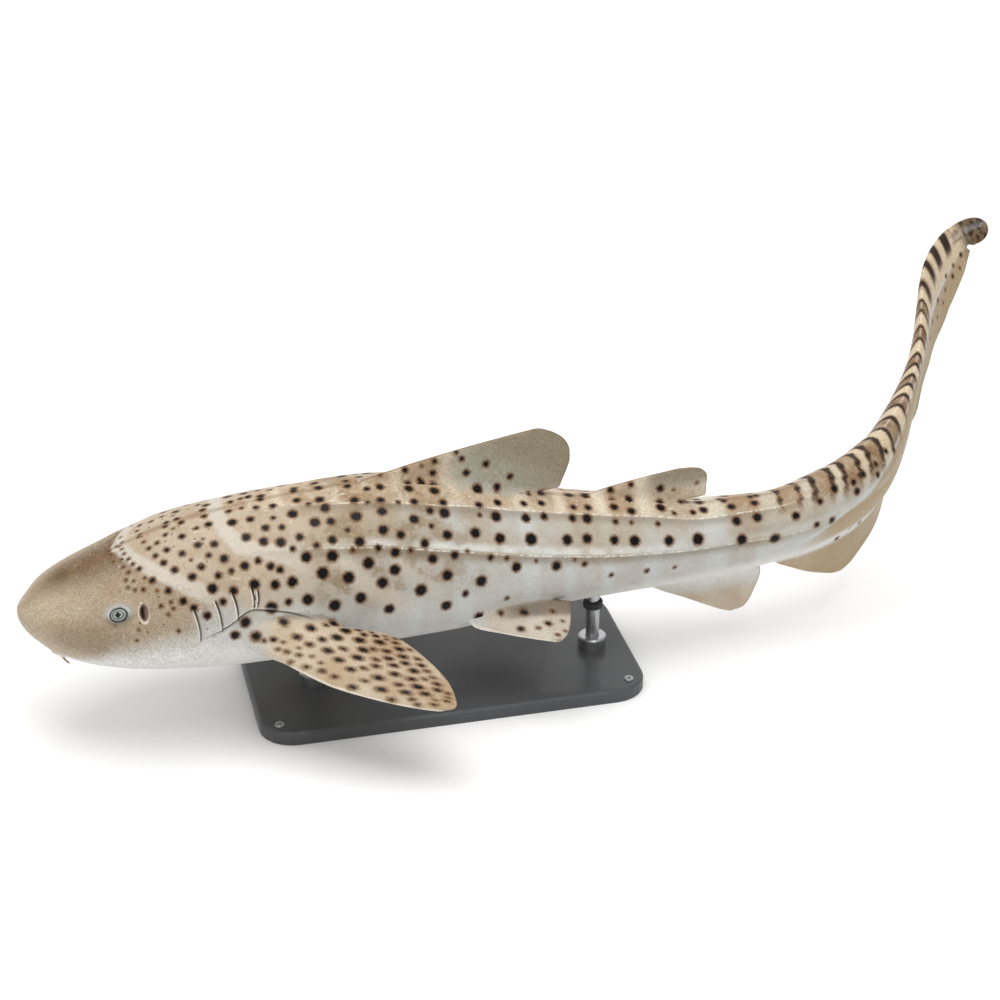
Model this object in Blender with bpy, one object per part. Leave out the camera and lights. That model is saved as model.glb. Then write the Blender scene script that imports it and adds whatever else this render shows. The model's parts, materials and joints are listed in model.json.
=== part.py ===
"""Zebra shark, a still life-size display model: swimming, its long tail swung to its right, on a stand."""
import math

import bmesh
import bpy
import numpy as np
from mathutils import Matrix, Vector

for old in list(bpy.data.objects):
    bpy.data.objects.remove(old, do_unlink=True)

# ---------------------------------------------------------------- driving dimensions
# Metres and degrees. Sizes of the fish are shares of its total length, written in percent of it.
TOTAL_LENGTH = 1.200
PERCENT = 0.01
GAP = 0.0003
FIN_EDGE = 0.0012
NOSE = (-0.5087, -0.0966, 0.1160)

# How the spine swings: station along the body, then heading, pitch and roll there.
SPINE = (
    (0, 0.0, 0.0, 0.0),
    (46, 0.0, 0.0, 0.0),
    (52, 0.0, 0.0, -3.0),
    (58, 16.0, 3.0, -4.0),
    (64, 37.4, 5.6, -6.0),
    (70, 53.1, 14.0, 1.0),
    (77, 56.2, 19.1, 14.0),
    (84, 64.4, 18.9, -7.0),
    (92, 50.1, 14.6, -31.5),
    (100, 18.6, -0.7, -37.1),
)

# The body's sections: station, half width, rise of the back and drop of the belly from the spine line,
# then how square the back and the belly are (2 is an ellipse).
BODY = (
    (0.0, 0.00, 0.00, 0.00, 2.0, 2.0),
    (0.6, 1.90, 0.70, 1.35, 2.0, 2.1),
    (1.8, 3.40, 1.85, 2.35, 2.0, 2.2),
    (3.5, 4.60, 2.70, 3.10, 2.0, 2.4),
    (5.5, 5.50, 3.45, 3.55, 2.0, 2.5),
    (8.0, 6.10, 4.55, 3.90, 2.0, 2.6),
    (11.0, 6.40, 5.60, 4.20, 2.05, 2.6),
    (15.0, 6.35, 6.35, 4.60, 2.05, 2.5),
    (20.0, 6.10, 6.90, 4.70, 2.0, 2.4),
    (25.0, 5.75, 7.15, 4.65, 1.95, 2.3),
    (30.0, 5.40, 6.55, 4.60, 1.9, 2.2),
    (35.0, 4.80, 5.25, 4.20, 1.9, 2.1),
    (40.0, 4.15, 4.10, 3.80, 1.9, 2.1),
    (45.0, 3.45, 3.25, 3.85, 1.9, 2.0),
    (50.0, 2.90, 2.25, 3.75, 1.9, 1.9),
    (55.0, 2.40, 2.25, 3.30, 1.9, 1.8),
    (60.0, 2.08, 2.75, 2.85, 1.9, 1.8),
    (65.0, 1.86, 2.70, 2.60, 1.9, 1.8),
    (70.0, 1.43, 2.05, 1.75, 1.9, 1.8),
    (80.0, 0.65, 0.79, 0.72, 1.9, 1.9),
    (90.0, 0.53, 1.35, 1.27, 1.9, 1.9),
    (100.0, 0.25, 1.15, 0.60, 2.0, 2.0),
)


def smooth(stations, values, x):
    """Values joined through their stations by a cubic that never overshoots them."""
    xs = np.asarray(stations, float)
    ys = np.asarray(values, float)
    x = np.clip(np.asarray(x, float), xs[0], xs[-1])
    step = np.diff(xs)
    slope = np.diff(ys) / step
    grade = np.zeros_like(ys)
    for i in range(1, len(xs) - 1):
        if slope[i - 1] * slope[i] > 0:
            w1 = 2 * step[i] + step[i - 1]
            w2 = step[i] + 2 * step[i - 1]
            grade[i] = (w1 + w2) / (w1 / slope[i - 1] + w2 / slope[i])
    grade[0] = slope[0]
    grade[-1] = slope[-1]
    i = np.clip(np.searchsorted(xs, x, side="right") - 1, 0, len(step) - 1)
    t = (x - xs[i]) / step[i]
    h = step[i]
    return (ys[i] * (1 + 2 * t) * (1 - t) ** 2 + grade[i] * h * t * (1 - t) ** 2
            + ys[i + 1] * t * t * (3 - 2 * t) + grade[i + 1] * h * t * t * (t - 1))


# ---------------------------------------------------------------- the bent spine
SPINE_STEPS = 600
SPINE_S = np.linspace(-0.02, 1.04, SPINE_STEPS + 1)


def spine_frames():
    """Points along the spine, and the directions to the fish's right and to its back."""
    station, *turns = np.array(SPINE, float).T
    heading, pitch, roll = [np.radians(smooth(station * PERCENT, turn, SPINE_S)) for turn in turns]
    ahead = np.stack([np.cos(heading) * np.cos(pitch), np.sin(heading) * np.cos(pitch), np.sin(pitch)], -1)
    side = np.stack([-np.sin(heading), np.cos(heading), 0 * heading], -1)
    up = np.cross(ahead, side)
    side_rolled = side * np.cos(roll)[:, None] + up * np.sin(roll)[:, None]
    up_rolled = up * np.cos(roll)[:, None] - side * np.sin(roll)[:, None]
    points = np.zeros_like(ahead)
    points[1:] = np.cumsum((ahead[1:] + ahead[:-1]) / 2, axis=0) * (SPINE_S[1] - SPINE_S[0]) * TOTAL_LENGTH
    nose = [np.interp(0.0, SPINE_S, points[:, k]) for k in range(3)]
    return points + np.array(NOSE) - nose, side_rolled, up_rolled


SPINE_POINT, SPINE_SIDE, SPINE_UP = spine_frames()


def bend(points):
    """Straight-fish points (along it, to its right, to its back, in lengths) put on the bent spine."""
    points = np.asarray(points, float)
    base, side, up = [np.stack([np.interp(points[:, 0], SPINE_S, row[:, k]) for k in range(3)], -1)
                      for row in (SPINE_POINT, SPINE_SIDE, SPINE_UP)]
    return base + (side * points[:, 1:2] + up * points[:, 2:3]) * TOTAL_LENGTH


# ---------------------------------------------------------------- the body's sections
def body_sizes(u):
    """Half width, back rise, belly drop and the two powers at a station; the nose is blunt by the root."""
    station, width, rise, drop, back, belly = np.array(BODY, float).T
    known = np.sqrt(station * PERCENT)
    at = np.sqrt(np.clip(u, 0.0, 1.0))
    sizes = [smooth(known, row * PERCENT, at) for row in (width, rise, drop)]
    return sizes + [smooth(known, row, at) for row in (back, belly)]


def section(u, sides, grow=0.0):
    """One closed ring of the body at station u, as straight-fish points."""
    width, rise, drop, back, belly = body_sizes(u)
    turn = np.arange(sides) * 2 * math.pi / sides
    c, s = np.cos(turn), np.sin(turn)
    power = np.where(s >= 0, back, belly)
    height = np.where(s >= 0, rise, drop)
    y = width * np.sign(c) * np.abs(c) ** (2 / power)
    z = height * np.sign(s) * np.abs(s) ** (2 / power)
    if grow:
        normal = np.stack([c * height, s * width], -1)
        normal /= np.linalg.norm(normal, axis=1)[:, None]
        y = y + normal[:, 0] * grow / TOTAL_LENGTH
        z = z + normal[:, 1] * grow / TOTAL_LENGTH
    return np.stack([np.full(sides, float(u)), y, z], -1)


# ---------------------------------------------------------------- the fins
# Each fin is a blade: rows up its span, every row a lens from the front to the back of its chord.
# A row holds its height above the spine line, then the stations of the chord's front and back, in percent.
FIRST_DORSAL = (
    (4.00, 25.6, 35.4), (4.75, 25.4, 35.7), (4.90, 25.4, 38.7), (5.50, 25.2, 39.0), (6.40, 25.0, 39.35),
    (7.15, 24.0, 39.55), (7.70, 26.2, 39.55), (8.20, 28.3, 39.45), (8.60, 30.2, 39.25), (9.00, 32.2, 38.90),
    (9.35, 34.2, 38.40), (9.60, 35.7, 37.90), (9.75, 36.8, 37.50),
)
SECOND_DORSAL = (
    (1.80, 40.5, 47.4), (2.65, 40.5, 47.7), (2.85, 40.5, 49.85), (3.30, 40.5, 49.95), (3.75, 40.5, 49.95),
    (4.10, 40.8, 50.0), (4.40, 42.0, 50.0), (4.70, 43.5, 49.9), (4.95, 45.0, 49.65), (5.15, 46.4, 49.35),
    (5.26, 47.5, 48.90), (5.30, 48.2, 48.60),
)
ANAL = (
    (-2.00, 45.4, 52.8), (-3.30, 45.4, 53.1), (-3.50, 45.4, 54.35), (-4.00, 45.6, 54.35),
    (-4.70, 46.7, 54.2), (-5.40, 48.3, 53.9), (-6.10, 49.8, 53.6), (-6.60, 50.9, 53.25),
    (-6.90, 51.7, 52.9), (-6.97, 52.1, 52.6),
)

# The paired fins lie on planes that droop away from a root on the body (its distance out and its height).
# A row holds its distance out from the root, then the stations of the chord's front and back, in percent.
PECTORAL_ROOT = (6.34, -0.75)
PECTORAL_DROOP = 20.0
PECTORAL = (
    (-2.00, 14.90, 20.28), (0.00, 14.62, 21.98), (0.75, 15.30, 24.28), (1.50, 16.12, 25.38),
    (2.30, 17.18, 26.08), (3.20, 18.13, 26.68), (4.80, 19.98, 27.58), (6.00, 21.98, 28.03),
    (6.95, 23.88, 28.16), (7.65, 25.58, 28.16), (8.00, 26.68, 28.03), (8.13, 27.38, 27.73),
)
PELVIC_ROOT = (4.45, -2.23)
PELVIC_DROOP = 20.0
PELVIC = (
    (-1.80, 30.88, 35.68), (-0.60, 30.28, 36.28), (-0.30, 30.38, 38.63), (0.40, 30.88, 38.48),
    (1.06, 31.38, 38.30), (1.79, 32.98, 38.08), (2.47, 34.68, 37.78), (2.90, 35.88, 37.43),
    (3.12, 36.58, 37.13),
)

# The tail fin's lower lobe hangs under the tail from 55 percent on: stations and the drop of its edge.
WEB = (
    (54.8, 3.40), (55.7, 3.70), (56.7, 4.23), (58.0, 5.00), (59.3, 5.60), (60.5, 6.10), (61.2, 6.22),
    (61.9, 6.10), (63.7, 5.45), (67.0, 4.65), (71.8, 3.50), (75.0, 2.85), (79.1, 2.20), (83.0, 2.85),
    (88.0, 3.50), (90.2, 3.32), (93.0, 2.91), (94.5, 2.55), (95.8, 1.95), (96.85, 1.35),
)
WEB_SPLIT = 74.0

# How far the lower lobe leans over to the fish's left, in degrees from straight down.
WEB_LEAN = ((67.0, 0.0), (72.0, 0.0), (77.0, 35.0), (84.0, 14.0), (90.0, 0.0))

# The terminal lobe behind the notch: station, rise of its upper edge and drop of its lower edge.
LOBE = (
    (96.9, 1.18, 0.90), (97.6, 1.15, 1.20), (98.4, 1.08, 1.20), (99.1, 0.92, 1.05), (99.7, 0.60, 0.70),
    (100.0, 0.20, 0.30),
)


# How thick the fins are at their roots and towards their tips, in lengths.
FIN_THICKNESS = {
    "first_dorsal_fin": (0.016, 0.0035),
    "second_dorsal_fin": (0.012, 0.0030),
    "anal_fin": (0.011, 0.0030),
    "pectoral_fin": (0.027, 0.0030),
    "pelvic_fin": (0.016, 0.0030),
}
LOBE_HALF_THICKNESS = 0.0026
LOBE_FADE = 0.035


def lens(front, back, thick, count):
    """Stations and half thicknesses across a chord: a rounded front, a thin back, never under the edge."""
    c = (1 - np.cos(np.linspace(0, math.pi, count))) / 2
    bulge = 2.2 * np.sqrt(c) * (1 - c) ** 0.8
    edge = FIN_EDGE / TOTAL_LENGTH
    return front + (back - front) * c, np.maximum(thick * np.minimum(bulge, 1.0), edge) / 2


def there_and_back(row):
    """A row of values along one face, then back along the other."""
    return np.concatenate([row, row[::-1]])


def upright_blade(rows, count, root_thick, tip_thick):
    """Rings of a fin on the middle plane."""
    heights, fronts, backs = np.array(rows).T * PERCENT
    share = np.abs(heights - heights[0]) / abs(heights[-1] - heights[0])
    rings = []
    for height, front, back, s in zip(heights, fronts, backs, share):
        chord, half = lens(front, back, root_thick + (tip_thick - root_thick) * s ** 0.6, count)
        y = np.concatenate([half, -half[::-1]])
        rings.append(np.stack([there_and_back(chord), y, np.full(2 * count, height)], -1))
    return rings


def drooping_blade(rows, count, root, droop, root_thick, tip_thick, hand):
    """Rings of a paired fin; hand is -1 for the fish's left and +1 for its right."""
    c, s = math.cos(math.radians(droop)), math.sin(math.radians(droop))
    outs, fronts, backs = np.array(rows).T * PERCENT
    rings = []
    for out, front, back in zip(outs, fronts, backs):
        share = min(max(out / outs[-1], 0.0), 1.0)
        chord, half = lens(front, back, root_thick + (tip_thick - root_thick) * share ** 0.5, count)
        off = np.concatenate([half, -half[::-1]])
        y = hand * (root[0] * PERCENT + out * c + off * s)
        z = root[1] * PERCENT - out * s + off * c
        rings.append(np.stack([there_and_back(chord), y, z], -1))
    return rings


def web_blade(start, end, count, steps):
    """Rings of the tail's lower lobe from one station to another; each runs from the body to the edge."""
    station, edge_drop = np.array(WEB).T * PERCENT
    lean_station, lean = np.array(WEB_LEAN).T
    edge = FIN_EDGE / TOTAL_LENGTH / 2
    share = np.linspace(0, 1, count)
    rings = []
    for u in np.linspace(start, end, steps):
        width, _, belly, _, _ = body_sizes(u)
        top = -0.35 * belly
        depth = there_and_back((float(smooth(station, edge_drop, u)) + top) * share)
        half = np.maximum(0.55 * width * (1 - share) ** 1.3 + edge * 1.5 * (1 - share), edge)
        off = np.concatenate([half, -half[::-1]])
        turn = math.radians(float(smooth(lean_station * PERCENT, lean, u)))
        y = off * math.cos(turn) - depth * math.sin(turn)
        z = top - depth * math.cos(turn) - off * math.sin(turn)
        rings.append(np.stack([np.full(2 * count, u), y, z], -1))
    return rings


def lobe_blade(count):
    """Rings of the terminal lobe; each runs from its upper edge to its lower edge."""
    edge = FIN_EDGE / TOTAL_LENGTH / 2
    share = np.linspace(0, 1, count)
    start = LOBE[0][0] * PERCENT
    rings = []
    for u, rise, drop in np.array(LOBE) * PERCENT:
        z = rise - (drop + rise) * share
        full = LOBE_HALF_THICKNESS * (1 - (u - start) / LOBE_FADE)
        half = np.maximum(full * np.sin(math.pi * np.clip(share * 1.35, 0, 1)), edge)
        y = np.concatenate([half, -half[::-1]])
        rings.append(np.stack([np.full(2 * count, u), y, there_and_back(z)], -1))
    return rings


def fin_rings():
    """Every fin's rings by node name, in the straight fish's frame."""
    fins = {}
    for name, rows, count in (
        ("first_dorsal_fin", FIRST_DORSAL, 10),
        ("second_dorsal_fin", SECOND_DORSAL, 10),
        ("anal_fin", ANAL, 9),
    ):
        fins[name] = upright_blade(rows, count, *FIN_THICKNESS[name])
    for side, hand in (("left", -1), ("right", 1)):
        fins[side + "_pectoral_fin"] = drooping_blade(PECTORAL, 11, PECTORAL_ROOT, PECTORAL_DROOP,
                                                      *FIN_THICKNESS["pectoral_fin"], hand)
        fins[side + "_pelvic_fin"] = drooping_blade(PELVIC, 9, PELVIC_ROOT, PELVIC_DROOP,
                                                    *FIN_THICKNESS["pelvic_fin"], hand)
    split = WEB_SPLIT * PERCENT
    half_gap = GAP / TOTAL_LENGTH / 2
    fins["caudal_lower_lobe_front"] = web_blade(WEB[0][0] * PERCENT, split - half_gap, 6, 17)
    fins["caudal_lower_lobe_rear"] = web_blade(split + half_gap, WEB[-1][0] * PERCENT, 6, 17)
    fins["caudal_terminal_lobe"] = lobe_blade(8)
    return fins


# ---------------------------------------------------------------- meshes
SIDES = 24
SHARP_ANGLE = 40.0

# The head's rings are closer together towards the blunt nose.
HEAD_STATIONS = (0.16, 0.6, 1.3, 2.3, 3.6, 5.0, 6.6, 8.3, 10.0)

# The body's lengths: name, first and last station, and how many rings lie between them.
LENGTHS = (
    ("head", 0.0, 11.8, 0),
    ("gill_region", 11.8, 17.2, 3),
    ("trunk_front", 17.2, 25.5, 4),
    ("trunk_middle", 25.5, 36.0, 6),
    ("trunk_rear", 36.0, 45.5, 5),
    ("tail_base", 45.5, 54.8, 5),
    ("tail_first_length", 54.8, 65.0, 7),
    ("tail_second_length", 65.0, 77.0, 8),
    ("tail_third_length", 77.0, 88.0, 7),
    ("tail_fourth_length", 88.0, 96.85, 6),
)

# The eye: its station, its angle above the widest line, its half sizes along, out and up, and its sinking.
EYE_STATION = 6.65
EYE_ANGLE = 27.0
EYE_RADII = (0.0096, 0.0062, 0.0073)
EYE_SUNK = 0.0038

# The lower jaw: front and back stations, half width, the height of its top and the arc of its front.
JAW_FRONT = 4.6
JAW_BACK = 10.4
JAW_HALF_WIDTH = 3.6
JAW_TOP = -2.35
JAW_ARC = 1.6

# The nasal barbels: root and tip as station, distance out and height, and their thickness in metres.
BARBEL_ROOT = (2.40, 2.35, -1.95)
BARBEL_TIP = (3.15, 2.75, -2.98)
BARBEL_RADIUS = 0.0015

# The stand, in metres: a plate and two rods at these stations.
BASE_SIZE = (0.340, 0.170, 0.012)
BASE_CENTRE = (-0.1489, -0.0908)
BASE_CORNER = 0.030
BASE_CHAMFER = 0.002
ROD_STATIONS = (20.5, 41.5)
ROD_RADIUS = 0.006


def face_rings(mesh, rings, first_pole=None, last_pole=None):
    """Add rings of points to a mesh and skin them; the ends close on a pole or a flat cap."""
    loops = [[mesh.verts.new(Vector(p)) for p in ring] for ring in rings]
    count = len(loops[0])
    for low, high in zip(loops[:-1], loops[1:]):
        for i in range(count):
            j = (i + 1) % count
            mesh.faces.new((low[i], low[j], high[j], high[i]))
    for loop, pole, last in ((loops[0], first_pole, False), (loops[-1], last_pole, True)):
        if pole is None:
            mesh.faces.new(loop if last else list(reversed(loop)))
            continue
        tip = mesh.verts.new(Vector(pole))
        for i in range(count):
            j = (i + 1) % count
            mesh.faces.new((loop[i], loop[j], tip) if last else (loop[j], loop[i], tip))


def finish_mesh(name, mesh):
    """Turn a bmesh into a named object with every face pointing out."""
    bmesh.ops.recalc_face_normals(mesh, faces=mesh.faces)
    data = bpy.data.meshes.new(name)
    mesh.to_mesh(data)
    mesh.free()
    data.shade_smooth()
    data.set_sharp_from_angle(angle=math.radians(SHARP_ANGLE))
    item = bpy.data.objects.new(name, data)
    bpy.context.scene.collection.objects.link(item)
    return item


def loft_object(name, rings, first_pole=None, last_pole=None):
    """A closed body skinned over rings of straight-fish points, put on the bent spine."""
    mesh = bmesh.new()
    bent = [bend(ring) for ring in rings]
    first = None if first_pole is None else bend([first_pole])[0]
    last = None if last_pole is None else bend([last_pole])[0]
    face_rings(mesh, bent, first, last)
    return finish_mesh(name, mesh)


def length_stations(start, end, inner):
    """Ring stations of one length of the body, with half a gap kept at each end."""
    half = GAP / TOTAL_LENGTH / 2
    if inner == 0:
        return [u * PERCENT for u in HEAD_STATIONS] + [end * PERCENT - half]
    return list(np.linspace(start * PERCENT + half, end * PERCENT - half, inner + 2))


def body_object(name, start, end, inner):
    """One length of the body as a closed loft."""
    rings = [section(u, SIDES) for u in length_stations(start, end, inner)]
    return loft_object(name, rings, first_pole=(0.0, 0.0, 0.0) if inner == 0 else None)


def whole_body(name, grow):
    """The whole body in one loft, a little swollen, to trim what meets it."""
    rings = []
    for _, start, end, inner in LENGTHS:
        rings += [section(u, SIDES, grow) for u in length_stations(start, end, inner)]
    rings.append(section(1.0, SIDES, grow))
    return loft_object(name, rings, first_pole=(-grow / TOTAL_LENGTH, 0.0, 0.0))


def cutter_off(item):
    """Keep a cutting body out of the model."""
    item.hide_render = True
    item.display_type = "WIRE"


def cut(item, cutter, operation="DIFFERENCE"):
    """Apply an exact boolean to a body."""
    modifier = item.modifiers.new("cut", "BOOLEAN")
    modifier.operation = operation
    modifier.solver = "EXACT"
    modifier.object = cutter
    bpy.context.view_layer.update()
    graph = bpy.context.evaluated_depsgraph_get()
    data = bpy.data.meshes.new_from_object(item.evaluated_get(graph))
    item.modifiers.clear()
    item.data = data


def ellipsoid(name, centre, axes, radii, across=14, down=9):
    """A closed ellipsoid on three given axes."""
    mesh = bmesh.new()
    bmesh.ops.create_uvsphere(mesh, u_segments=across, v_segments=down, radius=1.0)
    frame = Matrix((axes[0], axes[1], axes[2])).transposed()
    for vertex in mesh.verts:
        p = Vector((vertex.co.x * radii[0], vertex.co.z * radii[1], vertex.co.y * radii[2]))
        vertex.co = Vector(centre) + frame @ p
    return finish_mesh(name, mesh)


def surface_point(u, turn, hand):
    """A point of the upper body at a station and an angle above the widest line, and the way out of it."""

    def point_at(station, angle):
        width, rise, _, back, _ = [float(v) for v in body_sizes(station)]
        return Vector((station, hand * width * math.cos(angle) ** (2 / back),
                       rise * math.sin(angle) ** (2 / back)))

    along = point_at(u + 0.003, turn) - point_at(u - 0.003, turn)
    upward = point_at(u, turn + 0.05) - point_at(u, turn - 0.05)
    out = along.cross(upward).normalized() * -hand
    return point_at(u, turn), out


def bent_direction(u, direction):
    """A straight-fish direction turned onto the bent spine at station u."""
    base = bend([(u, 0, 0)])[0]
    ahead = Vector(bend([(u + 0.0005, 0, 0)])[0] - base).normalized()
    side = Vector(bend([(u, 0.001, 0)])[0] - base).normalized()
    up = Vector(bend([(u, 0, 0.001)])[0] - base).normalized()
    return (ahead * direction[0] + side * direction[1] + up * direction[2]).normalized()


def tapered_rod(name, points, radii, sides=8):
    """A round rod through points, given in metres in the fish's straight frame."""
    mesh = bmesh.new()
    rings = []
    for k, (point, radius) in enumerate(zip(points, radii)):
        after = Vector(points[min(k + 1, len(points) - 1)]) - Vector(points[max(k - 1, 0)])
        after.normalize()
        side = after.cross(Vector((0, 1, 0))).normalized()
        other = after.cross(side)
        ring = []
        for i in range(sides):
            a = i * 2 * math.pi / sides
            ring.append(Vector(point) + (side * math.cos(a) + other * math.sin(a)) * radius)
        rings.append(bend([(p.x / TOTAL_LENGTH, p.y / TOTAL_LENGTH, p.z / TOTAL_LENGTH) for p in ring]))
    face_rings(mesh, rings)
    return finish_mesh(name, mesh)


def upright_cylinder(name, x, y, low, high, radius, sides=24):
    """A plain upright rod in the world."""
    mesh = bmesh.new()
    rings = []
    for z in (low, high):
        turns = [i * 2 * math.pi / sides for i in range(sides)]
        rings.append([(x + radius * math.cos(a), y + radius * math.sin(a), z) for a in turns])
    face_rings(mesh, rings)
    return finish_mesh(name, mesh)


def stand_base():
    """A flat plate with rounded corners and a small chamfer round its top edge."""
    mesh = bmesh.new()

    def outline(inset, z):
        ring = []
        half_x = BASE_SIZE[0] / 2 - BASE_CORNER
        half_y = BASE_SIZE[1] / 2 - BASE_CORNER
        for sx, sy, start in ((1, 1, 0), (-1, 1, 90), (-1, -1, 180), (1, -1, 270)):
            for k in range(7):
                a = math.radians(start + 15 * k)
                r = BASE_CORNER - inset
                ring.append((BASE_CENTRE[0] + sx * half_x + r * math.cos(a),
                             BASE_CENTRE[1] + sy * half_y + r * math.sin(a), z))
        return ring

    height = BASE_SIZE[2]
    face_rings(mesh, [outline(0.0, 0.0), outline(0.0, height - BASE_CHAMFER), outline(BASE_CHAMFER, height)])
    return finish_mesh("stand_base", mesh)


# ---------------------------------------------------------------- the body's lengths
parts = {}
for part_name, part_start, part_end, part_inner in LENGTHS:
    parts[part_name] = body_object(part_name, part_start, part_end, part_inner)

swollen = whole_body("body_cutter", GAP)
cutter_off(swollen)

# ---------------------------------------------------------------- the fins, trimmed to the skin
for part_name, part_rings in fin_rings().items():
    parts[part_name] = loft_object(part_name, part_rings)
    if part_name != "caudal_terminal_lobe":
        cut(parts[part_name], swollen)

# ---------------------------------------------------------------- the eyes in their sockets
for part_side, part_hand in (("left", -1), ("right", 1)):
    skin_point, skin_out = surface_point(EYE_STATION * PERCENT, math.radians(EYE_ANGLE), part_hand)
    eye_out = bent_direction(EYE_STATION * PERCENT, skin_out)
    eye_along = bent_direction(EYE_STATION * PERCENT, (1, 0, 0))
    eye_along = (eye_along - eye_out * eye_along.dot(eye_out)).normalized()
    eye_up = eye_out.cross(eye_along).normalized()
    eye_centre = Vector(bend([skin_point])[0]) - eye_out * EYE_SUNK
    eye_axes = (eye_along, eye_out, eye_up)
    socket_radii = tuple(r + GAP for r in EYE_RADII)
    socket = ellipsoid(part_side + "_socket_cutter", eye_centre, eye_axes, socket_radii)
    cutter_off(socket)
    cut(parts["head"], socket)
    parts[part_side + "_eye"] = ellipsoid(part_side + "_eye", eye_centre, eye_axes, EYE_RADII)

# ---------------------------------------------------------------- the lower jaw, cut from the head


def jaw_block(name, grow):
    """A rounded block that takes the lower jaw off the head; its front follows the mouth's arc."""
    mesh = bmesh.new()
    back = JAW_BACK * PERCENT + grow
    half_width = JAW_HALF_WIDTH * PERCENT + grow
    ring = []
    for k in range(13):
        a = math.pi * k / 12
        u = JAW_FRONT * PERCENT - grow + JAW_ARC * PERCENT * (1 - math.sin(a) ** 0.8)
        ring.append((u, half_width * math.cos(a)))
    ring += [(back, -half_width), (back, half_width)]
    rings = [bend([(u, y, z) for u, y in ring]) for z in (-0.08, JAW_TOP * PERCENT + grow)]
    face_rings(mesh, rings)
    return finish_mesh(name, mesh)


jaw = body_object("lower_jaw", *LENGTHS[0][1:])
jaw_tool = jaw_block("jaw_cutter", 0.0)
cutter_off(jaw_tool)
cut(jaw, jaw_tool, "INTERSECT")
parts["lower_jaw"] = jaw
jaw_gap_tool = jaw_block("jaw_gap_cutter", GAP / TOTAL_LENGTH)
cutter_off(jaw_gap_tool)
cut(parts["head"], jaw_gap_tool)

# ---------------------------------------------------------------- the nasal barbels
for part_side, part_hand in (("left", -1), ("right", 1)):
    mirror = Vector((1, part_hand, 1)) * PERCENT * TOTAL_LENGTH
    root = Vector(BARBEL_ROOT) * mirror
    tip = Vector(BARBEL_TIP) * mirror
    middle_point = (root + tip) / 2 + Vector((-0.0006, 0, -0.0006))
    barbel = tapered_rod(part_side + "_nasal_barbel", (root, middle_point, tip),
                         (BARBEL_RADIUS, BARBEL_RADIUS * 0.85, BARBEL_RADIUS * 0.45))
    cut(barbel, swollen)
    parts[part_side + "_nasal_barbel"] = barbel

# ---------------------------------------------------------------- the display stand
parts["stand_base"] = stand_base()
for part_name, rod_station in zip(("stand_rod_front", "stand_rod_rear"), ROD_STATIONS):
    foot = Vector(bend([(rod_station * PERCENT, 0, 0)])[0])
    rod = upright_cylinder(part_name, foot.x, foot.y, BASE_SIZE[2] + GAP, foot.z, ROD_RADIUS)
    cut(rod, swollen)
    parts[part_name] = rod

# ---------------------------------------------------------------- materials


def plain_material(name, colour, roughness, metallic=0.0):
    """A Principled material of one colour."""
    material = bpy.data.materials.new(name)
    material.use_nodes = True
    shader = material.node_tree.nodes["Principled BSDF"]
    shader.inputs["Base Color"].default_value = (*colour, 1.0)
    shader.inputs["Roughness"].default_value = roughness
    shader.inputs["Metallic"].default_value = metallic
    return material


SAND = (0.47, 0.38, 0.27)
HEAD_TAUPE = (0.33, 0.26, 0.19)
FIN_BEIGE = (0.52, 0.42, 0.29)
EYE_DARK = (0.10, 0.12, 0.14)
STAND_GREY = (0.16, 0.16, 0.17)
ROD_STEEL = (0.55, 0.55, 0.56)
for part_name, item in parts.items():
    if part_name.endswith("_eye"):
        look = plain_material("eye_" + part_name, EYE_DARK, 0.15)
    elif part_name == "stand_base":
        look = plain_material("stand_plate_" + part_name, STAND_GREY, 0.45)
    elif part_name.startswith("stand_rod"):
        look = plain_material("stand_steel_" + part_name, ROD_STEEL, 0.3, 1.0)
    elif part_name in ("head", "lower_jaw") or part_name.endswith("barbel"):
        look = plain_material("head_skin_" + part_name, HEAD_TAUPE, 0.45)
    elif "fin" in part_name or "lobe" in part_name:
        look = plain_material("fin_skin_" + part_name, FIN_BEIGE, 0.45)
    else:
        look = plain_material("skin_" + part_name, SAND, 0.45)
    item.data.materials.clear()
    item.data.materials.append(look)

for item in [thing for thing in bpy.data.objects if thing.name.endswith("_cutter")]:
    bpy.data.objects.remove(item, do_unlink=True)
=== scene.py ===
# %% [markdown]
# # A zebra shark on a display stand
#
# This lesson dresses a still, life-size model of a zebra shark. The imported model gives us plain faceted
# solids: lengths of the body, fins, two eyes and a stand. Here the flesh gets one smooth skin with its
# ridges, gill slits, nostrils, mouth and lids, its spots and bars are worked out by rules on the body's
# own coordinates, the eyes get lens, iris and pupil, and the stand gets collars and screws.
#
# The trick of the whole lesson is to work on a straight fish first. A point of the straight fish is
# (how far along it, how far to its right, how far towards its back), in shares of its length. Only at
# the very end does `bend` lay these points on the swimming curve of the spine.

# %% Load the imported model
import json
import math

import bmesh
import bpy
import numpy as np
from mathutils import Matrix, Vector
from mathutils.kdtree import KDTree

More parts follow.
